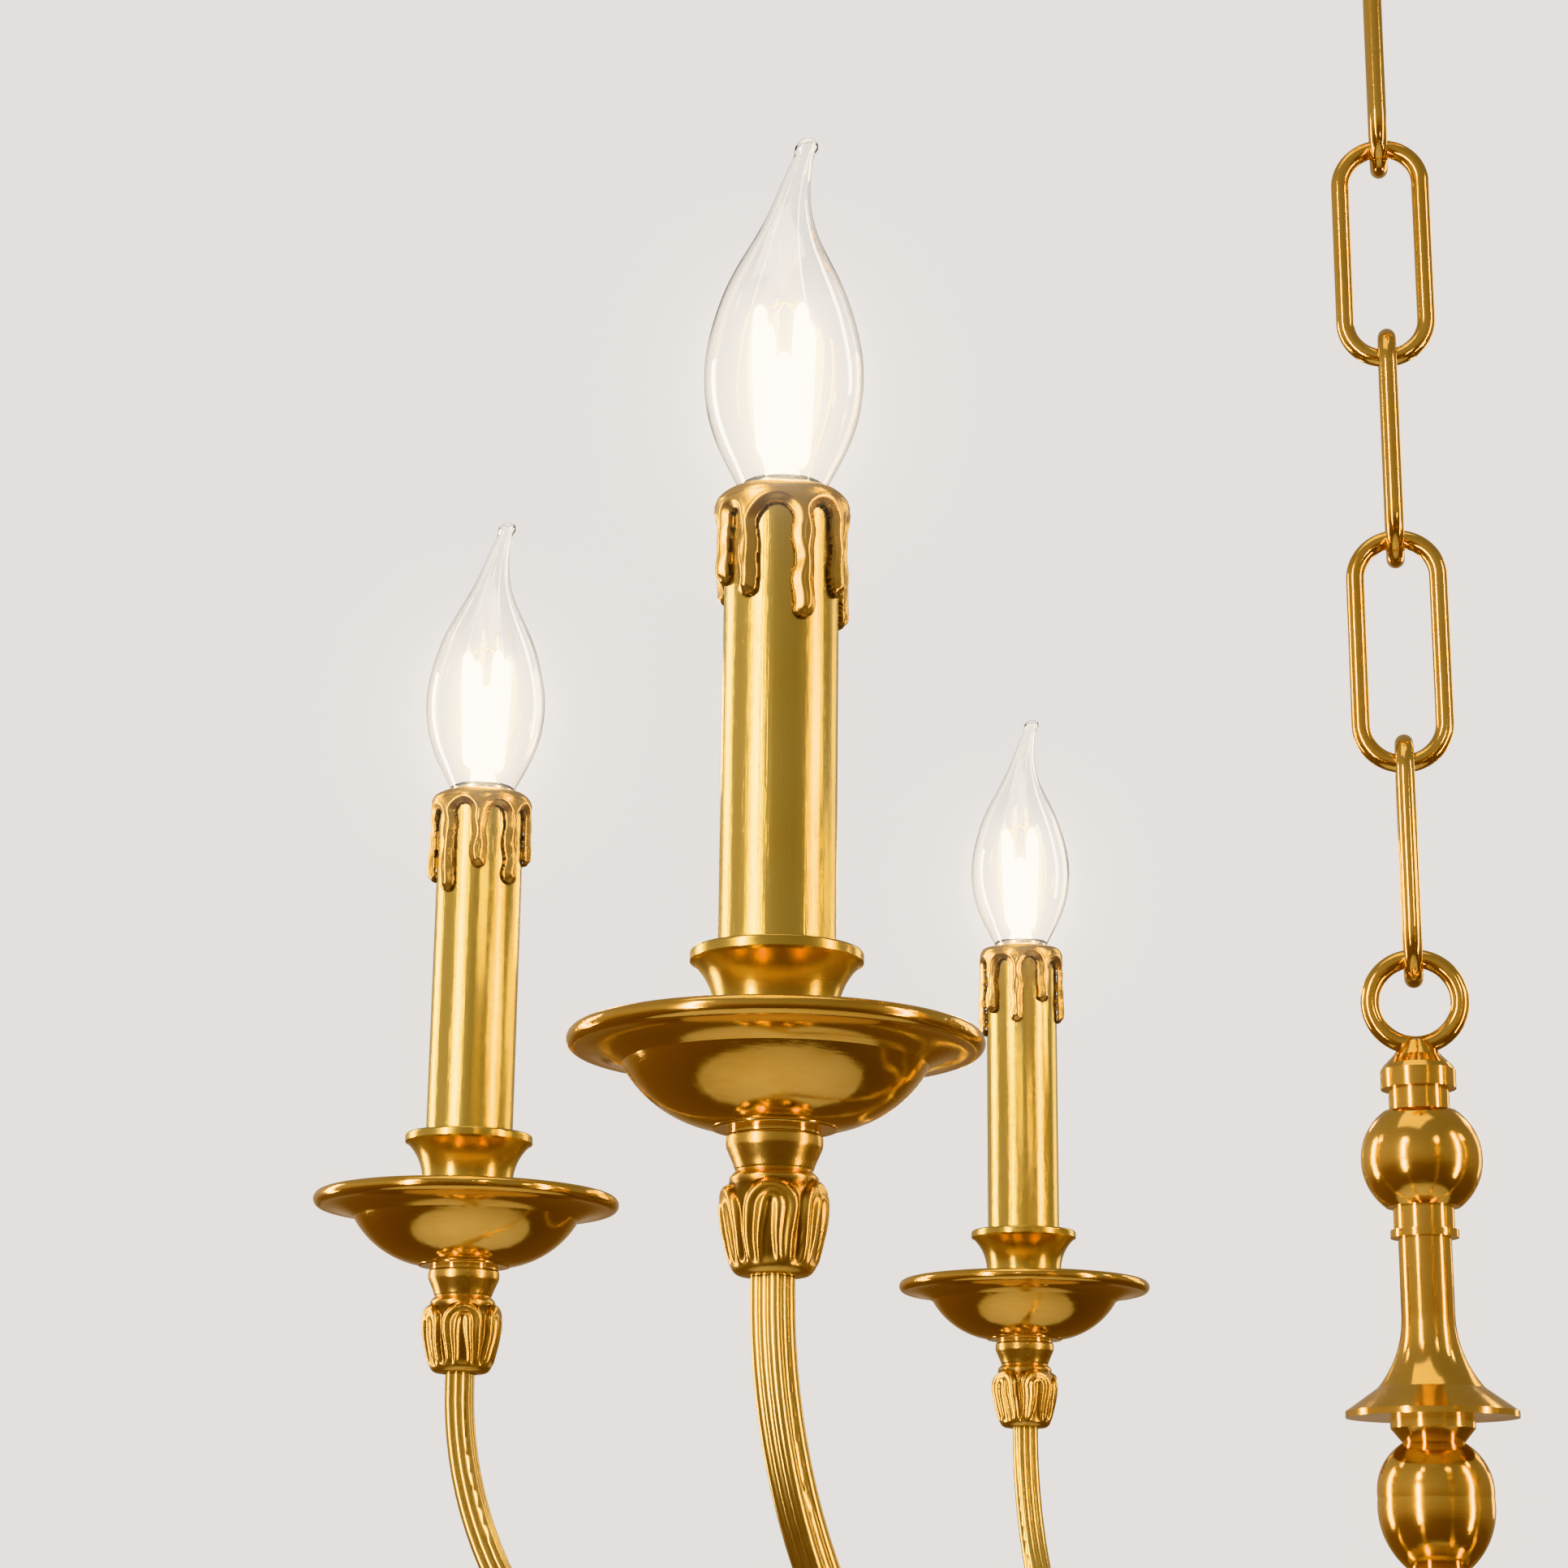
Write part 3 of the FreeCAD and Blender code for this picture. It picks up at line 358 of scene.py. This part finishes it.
# %% Other finishes
# This nickel is paler than nickel is, as painted light, so that the cap's rim at the foot of each
# lamp does not go dark in its shade. The lamps' support wires take it too.
nickel = metal("nickel_cap", (0.94, 0.90, 0.83), (0.82, 0.77, 0.69),
               (0.15, 0.30), (300.0, 300.0, 900.0), 0.00002)
zinc = metal("zinc_steel", (0.66, 0.68, 0.70), (0.48, 0.50, 0.54),
             (0.28, 0.50), (120.0, 120.0, 120.0), 0.00002)


def moulded(name, light, shaded, low, high):
    finish, tree, shader, place = new_finish(name)
    cloud = noise(tree, place, (90.0, 90.0, 90.0))
    grain = noise(tree, place, (1500.0, 1500.0, 1500.0), detail=2.0)
    tree.links.new(tint(tree, cloud, [(0.3, light), (0.7, shaded)]),
                   shader.inputs["Base Color"])
    tree.links.new(spread(tree, grain, low, high), shader.inputs["Roughness"])
    emboss(tree, shader, grain, 0.00002, 0.6)
    return finish


socket_white = moulded("white_socket", (0.82, 0.80, 0.74), (0.72, 0.69, 0.62), 0.25, 0.45)
wire_jacket = moulded("wire_jacket", (0.62, 0.52, 0.30), (0.50, 0.40, 0.20), 0.35, 0.55)
print("others:", nickel.name, zinc.name, socket_white.name, wire_jacket.name)

# %% [markdown]
# Lamp glass is clear, thin and blown, so its wall is never quite even. A faint, slow bump
# bends the highlights. The filaments are rods coated with a yellow phosphor that glows
# nearly white when lit.

# %% Glass and light
def lamp_glass():
    finish, tree, shader, place = new_finish("clear_glass")
    shader.inputs["Base Color"].default_value = (1.0, 0.995, 0.985, 1.0)
    shader.inputs["Transmission Weight"].default_value = 1.0
    shader.inputs["IOR"].default_value = 1.45
    swell = noise(tree, place, (70.0, 70.0, 40.0), detail=1.0)
    smudge = noise(tree, place, (140.0, 140.0, 60.0), detail=5.0)
    tree.links.new(spread(tree, smudge, 0.0, 0.045, 0.45, 0.8), shader.inputs["Roughness"])
    emboss(tree, shader, swell, 0.0002, 0.5)
    return finish


def glowing(name, core, edge, power):
    finish, tree, shader, place = new_finish(name)
    beads = noise(tree, place, (900.0, 900.0, 1400.0), detail=2.0)
    tree.links.new(tint(tree, beads, [(0.35, core), (0.75, edge)]),
                   shader.inputs["Emission Color"])
    shader.inputs["Base Color"].default_value = core + (1.0,)
    shader.inputs["Emission Strength"].default_value = power
    shader.inputs["Roughness"].default_value = 0.6
    return finish


clear_glass = lamp_glass()
filament_glow = glowing("filament_glow", (1.0, 0.95, 0.86), (1.0, 0.88, 0.70), 60.0)
# The glass stem glows too: painted light, for the filaments' light that its glass scatters.
stem_glow = glowing("stem_glow", (1.0, 0.95, 0.86), (1.0, 0.90, 0.76), 9.0)
print("glass and filament ready")

# %% [markdown]
# Each piece that comes from the engineering model keeps its shape and takes its finish by the
# start of its name. Where two starts fit, as for the arms and the arm hub, the longer one wins.

# %% Give each frame node its finish
finish_of = {
    "arm_": cast_brass, "arm_hub": cast_brass, "drip_pan_": polished_brass,
    "candle_cup_": shaded_cup_brass, "candle_sleeve_": satin_brass, "bulb_base_": nickel,
    "bulb_glass_": clear_glass, "ceiling_bracket": zinc, "ceiling_canopy": polished_brass,
    "canopy_loop": polished_brass, "chain_link_": polished_brass,
    "column_": polished_brass, "bottom_finial": polished_brass, "tie_rod": zinc,
    "lamp_sockets": socket_white, "arm_wires": wire_jacket,
    "leaf_fitting_": sculpted_brass, "drip_collars": sculpted_brass,
}
for name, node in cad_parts.items():
    fitting = max((start for start in finish_of if name.startswith(start)), key=len)
    if not node.material_slots:
        node.data.materials.append(finish_of[fitting])
    for material_slot in node.material_slots:
        material_slot.material = finish_of[fitting]
print("finished", len(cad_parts), "frame nodes")

# %% [markdown]
# ## The leaf castings
# Under each pan sits a cast brass fitting. Its top is a plain turned cone, and its belly is
# covered by five leaves, each an arch-shaped ridge with a narrower tongue inside it. The body
# is turned first, and is subdivided until its mesh is fine enough to carve.

# %% Turn the body of a leaf casting
LEAVES = 5
LEAF_TURN = math.radians(36.0)
leaf_profile = [(4.6, -28.6), (6.3, -28.6), (7.5, -28.3), (8.4, -27.4), (8.9, -26.0),
                (9.6, -23.2), (10.3, -20.2), (10.9, -17.2), (11.1, -14.4), (10.8, -12.2),
                (10.1, -10.2), (9.0, -8.6), (8.1, -7.7), (7.75, -7.4), (8.05, -7.05),
                (8.15, -6.8), (8.5, -5.7), (9.1, -4.4), (9.75, -2.9), (9.95, -2.5),
                (9.98, -0.6), (9.75, -0.1), (9.3, 0.0), (4.6, 0.0)]
leaf_casting = turned("leaf_casting", leaf_profile, 40, 2)
print("leaf casting:", len(leaf_casting.data.polygons), "faces before carving")


# %% [markdown]
# The leaves are raised and sunk in the dense mesh, as a sculptor would, by how far each point
# lies inside the outline of an arch. The depth of the hollows is kept as an attribute, so that
# the finish can darken them with tarnish and painted shade. A little waviness keeps the leaves
# from looking stamped.

# %% Carve the leaves
LEAF_GIRTH = 10.6       # radius that turns an angle into a distance round the leaves
LEAF_START = 8.6        # how far below the top the leaves start and end
LEAF_END = 27.0
BORE_EDGE = 6.5         # nothing nearer the axis than this is carved
DEEPEST_HOLLOW = 0.8


def ease(value):
    """A smooth step from 0 to 1."""
    value = max(0.0, min(1.0, value))
    return value * value * (3.0 - 2.0 * value)


def ridge(distance, centre, width):
    """A rounded ridge of height 1, or a groove where it is taken away."""
    return math.exp(-((distance - centre) / width) ** 2)


def leaf_relief(across, below):
    """Height of the leaf pattern, in millimetres, at a place across and below the top."""
    apex = 10.1
    half = 5.75
    arch = half - math.hypot(across, max(0.0, apex + half - below))
    if below > apex + half:
        arch = half - abs(across)
    tongue_apex = 12.9
    tongue_tip = 1.9
    tongue_half = tongue_tip + 0.10 * max(0.0, below - 15.0)
    tongue = tongue_half - math.hypot(across, max(0.0, tongue_apex + tongue_tip - below))
    if below > tongue_apex + tongue_tip:
        tongue = tongue_half - abs(across)
    between_leaves = -0.80 * (1.0 - ease((arch + 0.6) / 0.9))
    rim = 0.36 * ridge(arch, 0.95, 0.85)
    groove = -0.42 * ridge(arch, 2.45, 0.75)
    tongue_rim = 0.30 * ridge(tongue, 0.30, 0.80)
    tongue_hollow = -0.50 * ease((tongue - 0.7) / 1.0)
    return between_leaves + rim + groove + tongue_rim + tongue_hollow


def carve_leaves(piece):
    tarnish_and_shade = piece.data.attributes.new("hollow", "FLOAT", "POINT")
    pitch = 2.0 * math.pi / LEAVES
    for vertex in piece.data.vertices:
        below = -vertex.co.z / MM
        radius = vertex.co.xy.length
        bearing = math.atan2(vertex.co.y, vertex.co.x) - LEAF_TURN
        offset = (bearing + pitch / 2.0) % pitch - pitch / 2.0
        number = round((bearing - offset) / pitch)
        wander = 0.35 * math.sin(below * 0.35 + number * 2.1)
        relief = leaf_relief(offset * LEAF_GIRTH + wander, below + 0.5 * math.sin(number * 1.3))
        fade = ease((below - LEAF_START) / 1.6) * ease((LEAF_END - below) / 1.8)
        outside = ease((radius / MM - BORE_EDGE) / 1.5)
        relief *= fade * outside
        scale = 1.0 + relief * MM / radius
        vertex.co.x *= scale
        vertex.co.y *= scale
        # Deeper hollows get more dark tarnish and painted shade.
        tarnish_and_shade.data[vertex.index].value = ease(-relief / DEEPEST_HOLLOW)


carve_leaves(leaf_casting)
shade_smooth(leaf_casting)
print("leaf casting carved:", LEAVES, "leaves")

# %% [markdown]
# One casting serves all six arms, as it would in a foundry. Each copy gets a mesh of its own,
# moved to its candle and turned with its arm, and the original is then removed.

# %% Copy a finished piece to each arm
def own_copy(piece, name):
    """A copy with a mesh of its own."""
    copy = piece.copy()
    copy.data = piece.data.copy()
    copy.name = name
    bpy.context.scene.collection.objects.link(copy)
    return copy


def stand_at(piece, name, arm, twist=0.0):
    """A copy moved to an arm's candle and turned with the arm."""
    copy = own_copy(piece, name)
    centre = candle_middle[arm]
    turn = Matrix.Rotation((arm - 1) * ARM_STEP + twist, 4, "Z")
    copy.data.transform(Matrix.Translation((centre.x, centre.y, 0.0)) @ turn)
    return copy


def discard(piece):
    bpy.data.objects.remove(piece, do_unlink=True)


# %% Put a leaf casting under each pan
leaf_casting.data.transform(Matrix.Translation((0.0, 0.0, pan_bottom)))
leaf_casting.data.materials.append(sculpted_brass)
for arm in ARMS:
    casting = stand_at(leaf_casting, "leaf_casting_" + str(arm), arm)
    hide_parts("leaf_fitting_" + str(arm))
    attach(casting, "chandelier")
discard(leaf_casting)
print("leaf castings placed:", len(ARMS))

# %% [markdown]
# ## The wax-drip collars
# The cap on each candle is a brass casting of melted wax: a rounded top, and drips of unequal
# length that run down the sleeve with arches between them. It starts as a fine tube wall, and
# its top edge is extruded inwards over the crown to the hole that the lamp's neck stands in.

# %% Tube wall and crown of a drip collar
DRIP_BEARINGS = (-28.0, 7.5, 62.0, 104.0, 148.5, 192.5, 240.5, 286.5)
DRIP_LENGTHS = (21.0, 25.5, 30.6, 24.0, 28.0, 20.5, 26.5, 22.5)
SLEEVE_RADIUS = 12.25
COLLAR_RADIUS = 14.5
WALL_TOP = -2.4
WALL_BOTTOM = -31.4
WALL_COLUMNS = 280
WALL_ROWS = 88
WALL_PLAY = 0.05
clear_selection()
bpy.ops.mesh.primitive_cylinder_add(vertices=WALL_COLUMNS, radius=COLLAR_RADIUS * MM,
                                    depth=(WALL_TOP - WALL_BOTTOM) * MM,
                                    end_fill_type="NOTHING",
                                    location=(0.0, 0.0, (WALL_TOP + WALL_BOTTOM) / 2.0 * MM))
collar = bpy.context.object
collar.name = "drip_collar"
bpy.ops.object.transform_apply(location=True, rotation=True, scale=True)


def upright(edge):
    first, second = (collar.data.vertices[index].co for index in edge.vertices)
    return abs(first.z - second.z) > MM


select_where(collar, "EDGE", upright)
bpy.ops.mesh.subdivide(number_cuts=WALL_ROWS)
bpy.ops.object.mode_set(mode="OBJECT")
select_where(collar, "VERT", lambda point: point.co.z > (WALL_TOP - WALL_PLAY) * MM)
crown = [(14.42, -1.8), (14.22, -1.2), (13.85, -0.65), (13.3, -0.25), (12.6, -0.05),
         (11.9, -0.05), (11.3, -0.25), (10.95, -0.75), (10.9, -1.6), (10.9, -2.6)]
extrude_rings(COLLAR_RADIUS, WALL_TOP, crown)
bpy.ops.object.mode_set(mode="OBJECT")
settle(collar)
print("collar wall:", len(collar.data.vertices), "points")


# %% [markdown]
# Each point is raised by how far it lies inside the outline of the wax, and the points outside
# it sink under the sleeve and are deleted. Each gap between two drips is a round-topped arch.
# The drips grow a little thicker further down, as real ones do where the wax slows and sets.

# %% Raise the wax
DRIP_HALF = 2.7     # half the width of a drip
ARCH_TOP = 5.5      # from the top of the collar to the top of an arch
AROUND = 13.6       # radius that turns an angle into a distance round the wall
EDGE_RISE = 1.25    # how far the edge of the wax stands out
BODY_RISE = 1.12    # how much further its middle stands out
SINK = 0.12         # how far a bare point sinks under the sleeve
SUNK = 0.08         # past this depth a point is deleted


def turn_between(bearing, centre):
    return (bearing - centre + math.pi) % (2.0 * math.pi) - math.pi


def wax_cover(bearing, below):
    """How far a point lies inside the wax, in millimetres; below zero is bare sleeve."""
    cover = 99.0
    count = len(DRIP_BEARINGS)
    for number in range(count):
        here = math.radians(DRIP_BEARINGS[number])
        gap = turn_between(math.radians(DRIP_BEARINGS[(number + 1) % count]), here)
        gap %= 2.0 * math.pi
        half = gap * AROUND / 2.0 - DRIP_HALF + 0.22 * math.sin(below * 0.7 + number * 1.9)
        across = turn_between(bearing, here + gap / 2.0) * AROUND
        across += 0.25 * math.sin(below * 0.5 + number * 2.3)
        crown_top = ARCH_TOP + 0.35 * math.sin(number * 2.7) + half
        arch = math.hypot(across, max(0.0, crown_top - below)) - half
        cover = min(cover, arch)
        drift = turn_between(bearing, here) * AROUND
        end = DRIP_LENGTHS[number] - DRIP_HALF
        if abs(drift) < DRIP_HALF + 1.2 and below > end:
            tip = DRIP_HALF + 0.25 - math.hypot(drift, below - end)
            cover = min(cover, tip)
    return cover


def raise_wax(piece):
    tarnish_and_shade = piece.data.attributes.new("hollow", "FLOAT", "POINT")
    for vertex in piece.data.vertices:
        below = -vertex.co.z / MM
        bearing = math.atan2(vertex.co.y, vertex.co.x)
        swell = 0.06 * math.sin(bearing * 7.0 + below) + 0.05 * math.sin(bearing * 13.0)
        if below < -WALL_TOP - 0.01:
            vertex.co.z += 0.14 * MM * math.sin(bearing * 5.0 + 0.7) * ease(1.6 - below)
            continue
        cover = wax_cover(bearing, below)
        rise = EDGE_RISE * ease((cover + 0.1) / 0.5) + BODY_RISE * ease(cover / 2.3)
        rise += 0.16 * ridge(cover, 2.2, 0.5) + swell * ease(cover / 1.5)
        radius = SLEEVE_RADIUS - SINK + rise * (1.0 + 0.14 * ease((below - 12.0) / 8.0))
        vertex.co.x = radius * MM * math.cos(bearing)
        vertex.co.y = radius * MM * math.sin(bearing)
        # The edges of the wax, where it meets the sleeve, are darkened: dark tarnish and painted
        # shade.
        tarnish_and_shade.data[vertex.index].value = 0.7 * (1.0 - ease(cover / 1.2))


def sunk(point):
    return point.co.xy.length < (SLEEVE_RADIUS - SUNK) * MM and point.co.z < 2.0 * WALL_TOP * MM


raise_wax(collar)
select_where(collar, "VERT", sunk)
bpy.ops.mesh.delete(type="VERT")
bpy.ops.object.mode_set(mode="OBJECT")
apply_modifier(collar, "SOLIDIFY", thickness=0.3 * MM, offset=-1.0)
shade_smooth(collar)
print("collar:", len(collar.data.polygons), "faces,", len(DRIP_LENGTHS), "drips")

# %% Cap each sleeve with a collar
collar.data.transform(Matrix.Translation((0.0, 0.0, collar_top)))
collar.data.materials.append(sculpted_brass)
for arm in ARMS:
    cap = stand_at(collar, "drip_casting_" + str(arm), arm)
    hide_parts("drip_collars")
    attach(cap, "chandelier")
discard(collar)
print("drip collars placed:", len(ARMS))

# %% [markdown]
# ## The lamps
# A flame-tip lamp is a blown bulb drawn out at the top, with the tip bent over and sealed in a
# small bead. The bulb is turned, bent by moving its upper rings aside, and given a thin wall
# by the Solidify modifier. Inside stand a glass stem and four filament rods.

# %% Blow and bend the glass
glass_profile = [(7.4, -1.8), (9.0, 1.6), (10.9, 5.4), (13.7, 10.6), (15.9, 16.2), (17.2, 21.6),
                 (17.7, 27.6), (17.4, 33.0), (16.4, 38.2), (15.1, 43.2), (13.3, 48.4),
                 (10.7, 54.0), (7.8, 59.4), (5.5, 64.8), (4.0, 70.2), (3.1, 75.2),
                 (2.5, 79.0), (2.1, 81.0), (2.7, 82.6), (2.6, 84.0), (1.3, 85.0)]
glass = turned("lamp_glass", glass_profile, 24, 2, close_end=True)
BEND_START = 49.0   # height where the tip starts to lean
BEND_REACH = 5.0    # how far the tip ends up to one side
BEAD_START = 81.0   # height where the sealed bead starts
GLASS_WALL = 0.6
for vertex in glass.data.vertices:
    climb = max(0.0, vertex.co.z / MM - BEND_START) / (glass_profile[-1][1] - BEND_START)
    vertex.co.x += BEND_REACH * MM * climb ** 2.4
    if vertex.co.z > BEAD_START * MM:
        vertex.co.z += 0.25 * MM * math.sin(vertex.co.y / MM * 2.3)
apply_modifier(glass, "SOLIDIFY", thickness=GLASS_WALL * MM, offset=-1.0)
shade_smooth(glass)
print("lamp glass:", len(glass.data.polygons), "faces")

# %% [markdown]
# The stem is a glass foot that tapers upwards, and it glows with painted light. Four rods stand
# round it, a quarter turn apart, and each leans outwards a little. One rod is made, and its
# copies are moved into place.

# %% Stem and filament rods
stem = turned("lamp_stem", [(5.6, -0.9), (4.6, 2.4), (3.6, 6.0), (3.1, 10.0), (2.9, 24.0),
                            (2.3, 32.0), (1.2, 34.0)], 16, 2, close_start=True, close_end=True)
ROD_LEAN = math.radians(2.6)
ROD_RING = 4.6
ROD_COUNT = 4
rods = []


def rod_bearing(number):
    return number * 2.0 * math.pi / ROD_COUNT + math.pi / 5.0


first_rod = turned("filament", [(0.6, 8.5), (1.3, 9.5), (1.95, 10.8), (2.0, 26.0), (1.95, 40.8),
                                (1.3, 42.2), (0.6, 43.4)], 12, 1, close_start=True, close_end=True)
lean = Matrix.Rotation(ROD_LEAN, 4, "Y")
for number in range(ROD_COUNT):
    rod = own_copy(first_rod, "filament_rod_" + str(number + 1))
    outwards = Matrix.Rotation(rod_bearing(number), 4, "Z")
    rod.data.transform(outwards @ Matrix.Translation((ROD_RING * MM, 0.0, 0.0)) @ lean)
    rods.append(rod)
discard(first_rod)
filaments = join(rods)
print("filaments:", len(filaments.data.polygons), "faces")

# %% [markdown]
# Thin wires carry the current from the stem to the foot of each rod, and a small cross of wire
# holds the heads of the rods apart. Each is a thin rod with softened ends, laid along its run.

# %% Support wires
WIRE_RADIUS = 0.22
struts = []
for number in range(ROD_COUNT):
    bearing = rod_bearing(number)
    along = Vector((math.cos(bearing), math.sin(bearing), 0.0))
    lead = along * 0.9
    foot = along * ROD_RING
    head = along * 5.9
    for start, stop in (((lead.x, lead.y, 12.6), (foot.x, foot.y, 9.6)),
                        ((0.0, 0.0, 46.2), (head.x, head.y, 42.6))):
        clear_selection()
        span = Vector(stop) - Vector(start)
        bpy.ops.mesh.primitive_cylinder_add(vertices=8, radius=WIRE_RADIUS * MM,
                                            depth=span.length * MM)
        strut = bpy.context.object
        lay = span.to_track_quat("Z", "Y").to_matrix().to_4x4()
        centre = (Vector(start) + Vector(stop)) / 2.0 * MM
        strut.data.transform(Matrix.Translation(centre) @ lay)
        apply_modifier(strut, "BEVEL", width=0.06 * MM, segments=2)
        struts.append(strut)
supports = join(struts)
print("support wires:", len(supports.data.polygons), "faces")

# %% [markdown]
# Lamps are screwed in until they are tight, so their bent tips point anywhere. Each lamp is
# turned by an angle of its own before it is put in its candle.

# %% Put a lamp in each candle
LAMP_TWISTS = {1: 40.0, 2: -95.0, 3: 250.0, 4: 190.0, 5: 130.0, 6: -20.0}
glass.data.materials.append(clear_glass)
# The stem's glow is painted light, not a lamp.
stem.data.materials.append(stem_glow)
filaments.data.materials.append(filament_glow)
supports.data.materials.append(nickel)
for piece in (glass, stem, filaments, supports):
    piece.data.transform(Matrix.Translation((0.0, 0.0, collar_top)))
for arm in ARMS:
    twist = math.radians(LAMP_TWISTS[arm])
    bulb = "bulb_" + str(arm)
    shell = stand_at(glass, "lamp_glass_" + str(arm), arm, twist)
    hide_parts("bulb_glass_" + str(arm))
    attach(shell, bulb)
    # The stem keeps its painted glow, stem_glow, given above.
    for piece, word, unused_finish_name in ((stem, "lamp_stem_", "clear_glass"),
                                     (filaments, "filaments_", "nickel_cap"),
                                     (supports, "supports_", "nickel_cap")):
        inner = stand_at(piece, word + str(arm), arm, twist)
        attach(inner, bulb)
for piece in (glass, stem, filaments, supports):
    discard(piece)
print("lamps placed:", len(ARMS))

# %% [markdown]
# ## The studio
# The fitting hangs over a plain pale floor, in a pale room.

# %% Floor
FLOOR_DROP = 2.2
FLOOR_RADIUS = 1.9
clear_selection()
bpy.ops.mesh.primitive_circle_add(vertices=96, radius=FLOOR_RADIUS, fill_type="NGON",
                                  location=(0.0, 0.0, cad_low.z - FLOOR_DROP))
floor = bpy.context.object
floor.name = "studio_floor"
bpy.ops.object.mode_set(mode="EDIT")
bpy.ops.mesh.select_all(action="SELECT")
bpy.ops.mesh.inset(thickness=0.06)
bpy.ops.object.mode_set(mode="OBJECT")
bpy.ops.object.transform_apply(location=True, rotation=True, scale=True)
floor.data.materials.append(moulded("pale_floor", (0.93, 0.92, 0.90), (0.90, 0.89, 0.86),
                                    0.55, 0.75))
print("floor:", FLOOR_DROP, "m below the finial")


# %% [markdown]
# Metal shows what is round it, and in an all-white room brass looks flat. So what the eye sees
# is a pale wall, and what the metal mirrors is a dimmer and warmer room, darker to the right
# and below. The Light Path node picks one or the other for each ray.

# %% Room
def paint_room():
    """Pale walls to look at, and a dimmer, warmer room for the metal to mirror."""
    world = bpy.data.worlds.new("pale_room")
    world.use_nodes = True
    bpy.context.scene.world = world
    tree = world.node_tree
    seen = tree.nodes["Background"]
    seen.inputs["Color"].default_value = (0.81, 0.785, 0.765, 1.0)
    seen.inputs["Strength"].default_value = 1.0
    mirrored = tree.nodes.new("ShaderNodeBackground")
    place = tree.nodes.new("ShaderNodeTexCoord")
    parts = tree.nodes.new("ShaderNodeSeparateXYZ")
    tree.links.new(place.outputs["Generated"], parts.inputs["Vector"])
    colour = tint(tree, spread(tree, parts.outputs["Z"], 0.0, 1.0, -1.0, 1.0),
                  [(0.0, (0.10, 0.045, 0.015)), (0.36, (0.20, 0.10, 0.035)),
                   (0.47, (0.44, 0.33, 0.22)), (0.60, (0.52, 0.44, 0.35)),
                   (0.85, (0.42, 0.36, 0.29))])
    tree.links.new(colour, mirrored.inputs["Color"])
    left_to_right = spread(tree, parts.outputs["X"], 1.05, 0.70, -0.9, 0.6)
    tree.links.new(left_to_right, mirrored.inputs["Strength"])
    path = tree.nodes.new("ShaderNodeLightPath")
    straight = add(tree, path.outputs["Is Camera Ray"], path.outputs["Is Transmission Ray"])
    choose = tree.nodes.new("ShaderNodeMixShader")
    tree.links.new(straight, choose.inputs["Fac"])
    tree.links.new(mirrored.outputs["Background"], choose.inputs[1])
    tree.links.new(seen.outputs["Background"], choose.inputs[2])
    tree.links.new(choose.outputs["Shader"], tree.nodes["World Output"].inputs["Surface"])


paint_room()
print("room:", bpy.context.scene.world.name)


# %% [markdown]
# A tall, narrow window of light stands at the front on the left, and a wider light further
# back. A thin warm strip on the right draws the bright line down each sleeve. A faint light
# from above and one from behind keep the rims from going black.

# %% Lights
def soft_light(name, place, size, power, colour):
    data = bpy.data.lights.new(name, "AREA")
    data.shape = "RECTANGLE"
    data.size, data.size_y = size
    data.energy = power
    data.color = colour
    light = bpy.data.objects.new(name, data)
    light.location = place
    target = Vector((0.0, 0.0, -0.45))
    light.rotation_euler = (target - Vector(place)).to_track_quat("-Z", "Y").to_euler()
    bpy.context.scene.collection.objects.link(light)


soft_light("window", (-1.05, -1.50, -0.30), (0.13, 1.9), 27.0, (1.0, 0.97, 0.91))
soft_light("left_wall", (-1.9, 0.5, -0.3), (0.3, 1.6), 20.0, (1.0, 0.98, 0.92))
soft_light("warm_strip", (1.25, -0.36, -0.35), (0.08, 1.7), 14.0, (1.0, 0.84, 0.62))
soft_light("overhead", (-0.2, -0.3, 0.9), (1.0, 1.0), 2.5, (1.0, 0.95, 0.88))
soft_light("back", (0.9, 1.4, 0.0), (0.5, 1.2), 3.5, (1.0, 0.90, 0.76))
bpy.context.scene.view_settings.view_transform = "Khronos PBR Neutral"
print("lights placed")

# %% [markdown]
# A lit filament is far brighter than anything round it, and a real lens spreads some of that
# light into a soft glow. The compositor's bloom does the same, from the brightest spots only.

# %% Lens glow
studio = bpy.context.scene
studio.use_nodes = True
darkroom = studio.node_tree
darkroom.nodes.clear()
layers = darkroom.nodes.new("CompositorNodeRLayers")
bloom = darkroom.nodes.new("CompositorNodeGlare")
bloom.glare_type = "BLOOM"
bloom.quality = "HIGH"
bloom.inputs["Threshold"].default_value = 4.0
bloom.inputs["Strength"].default_value = 0.30
bloom.inputs["Size"].default_value = 0.22
picture = darkroom.nodes.new("CompositorNodeComposite")
darkroom.links.new(layers.outputs["Image"], bloom.inputs["Image"])
darkroom.links.new(bloom.outputs["Image"], picture.inputs["Image"])
print("lens glow over brightness", bloom.inputs["Threshold"].default_value)

# %% [markdown]
# ## The last step
# At the end, nothing is left selected.

# %% Clear the selection
clear_selection()
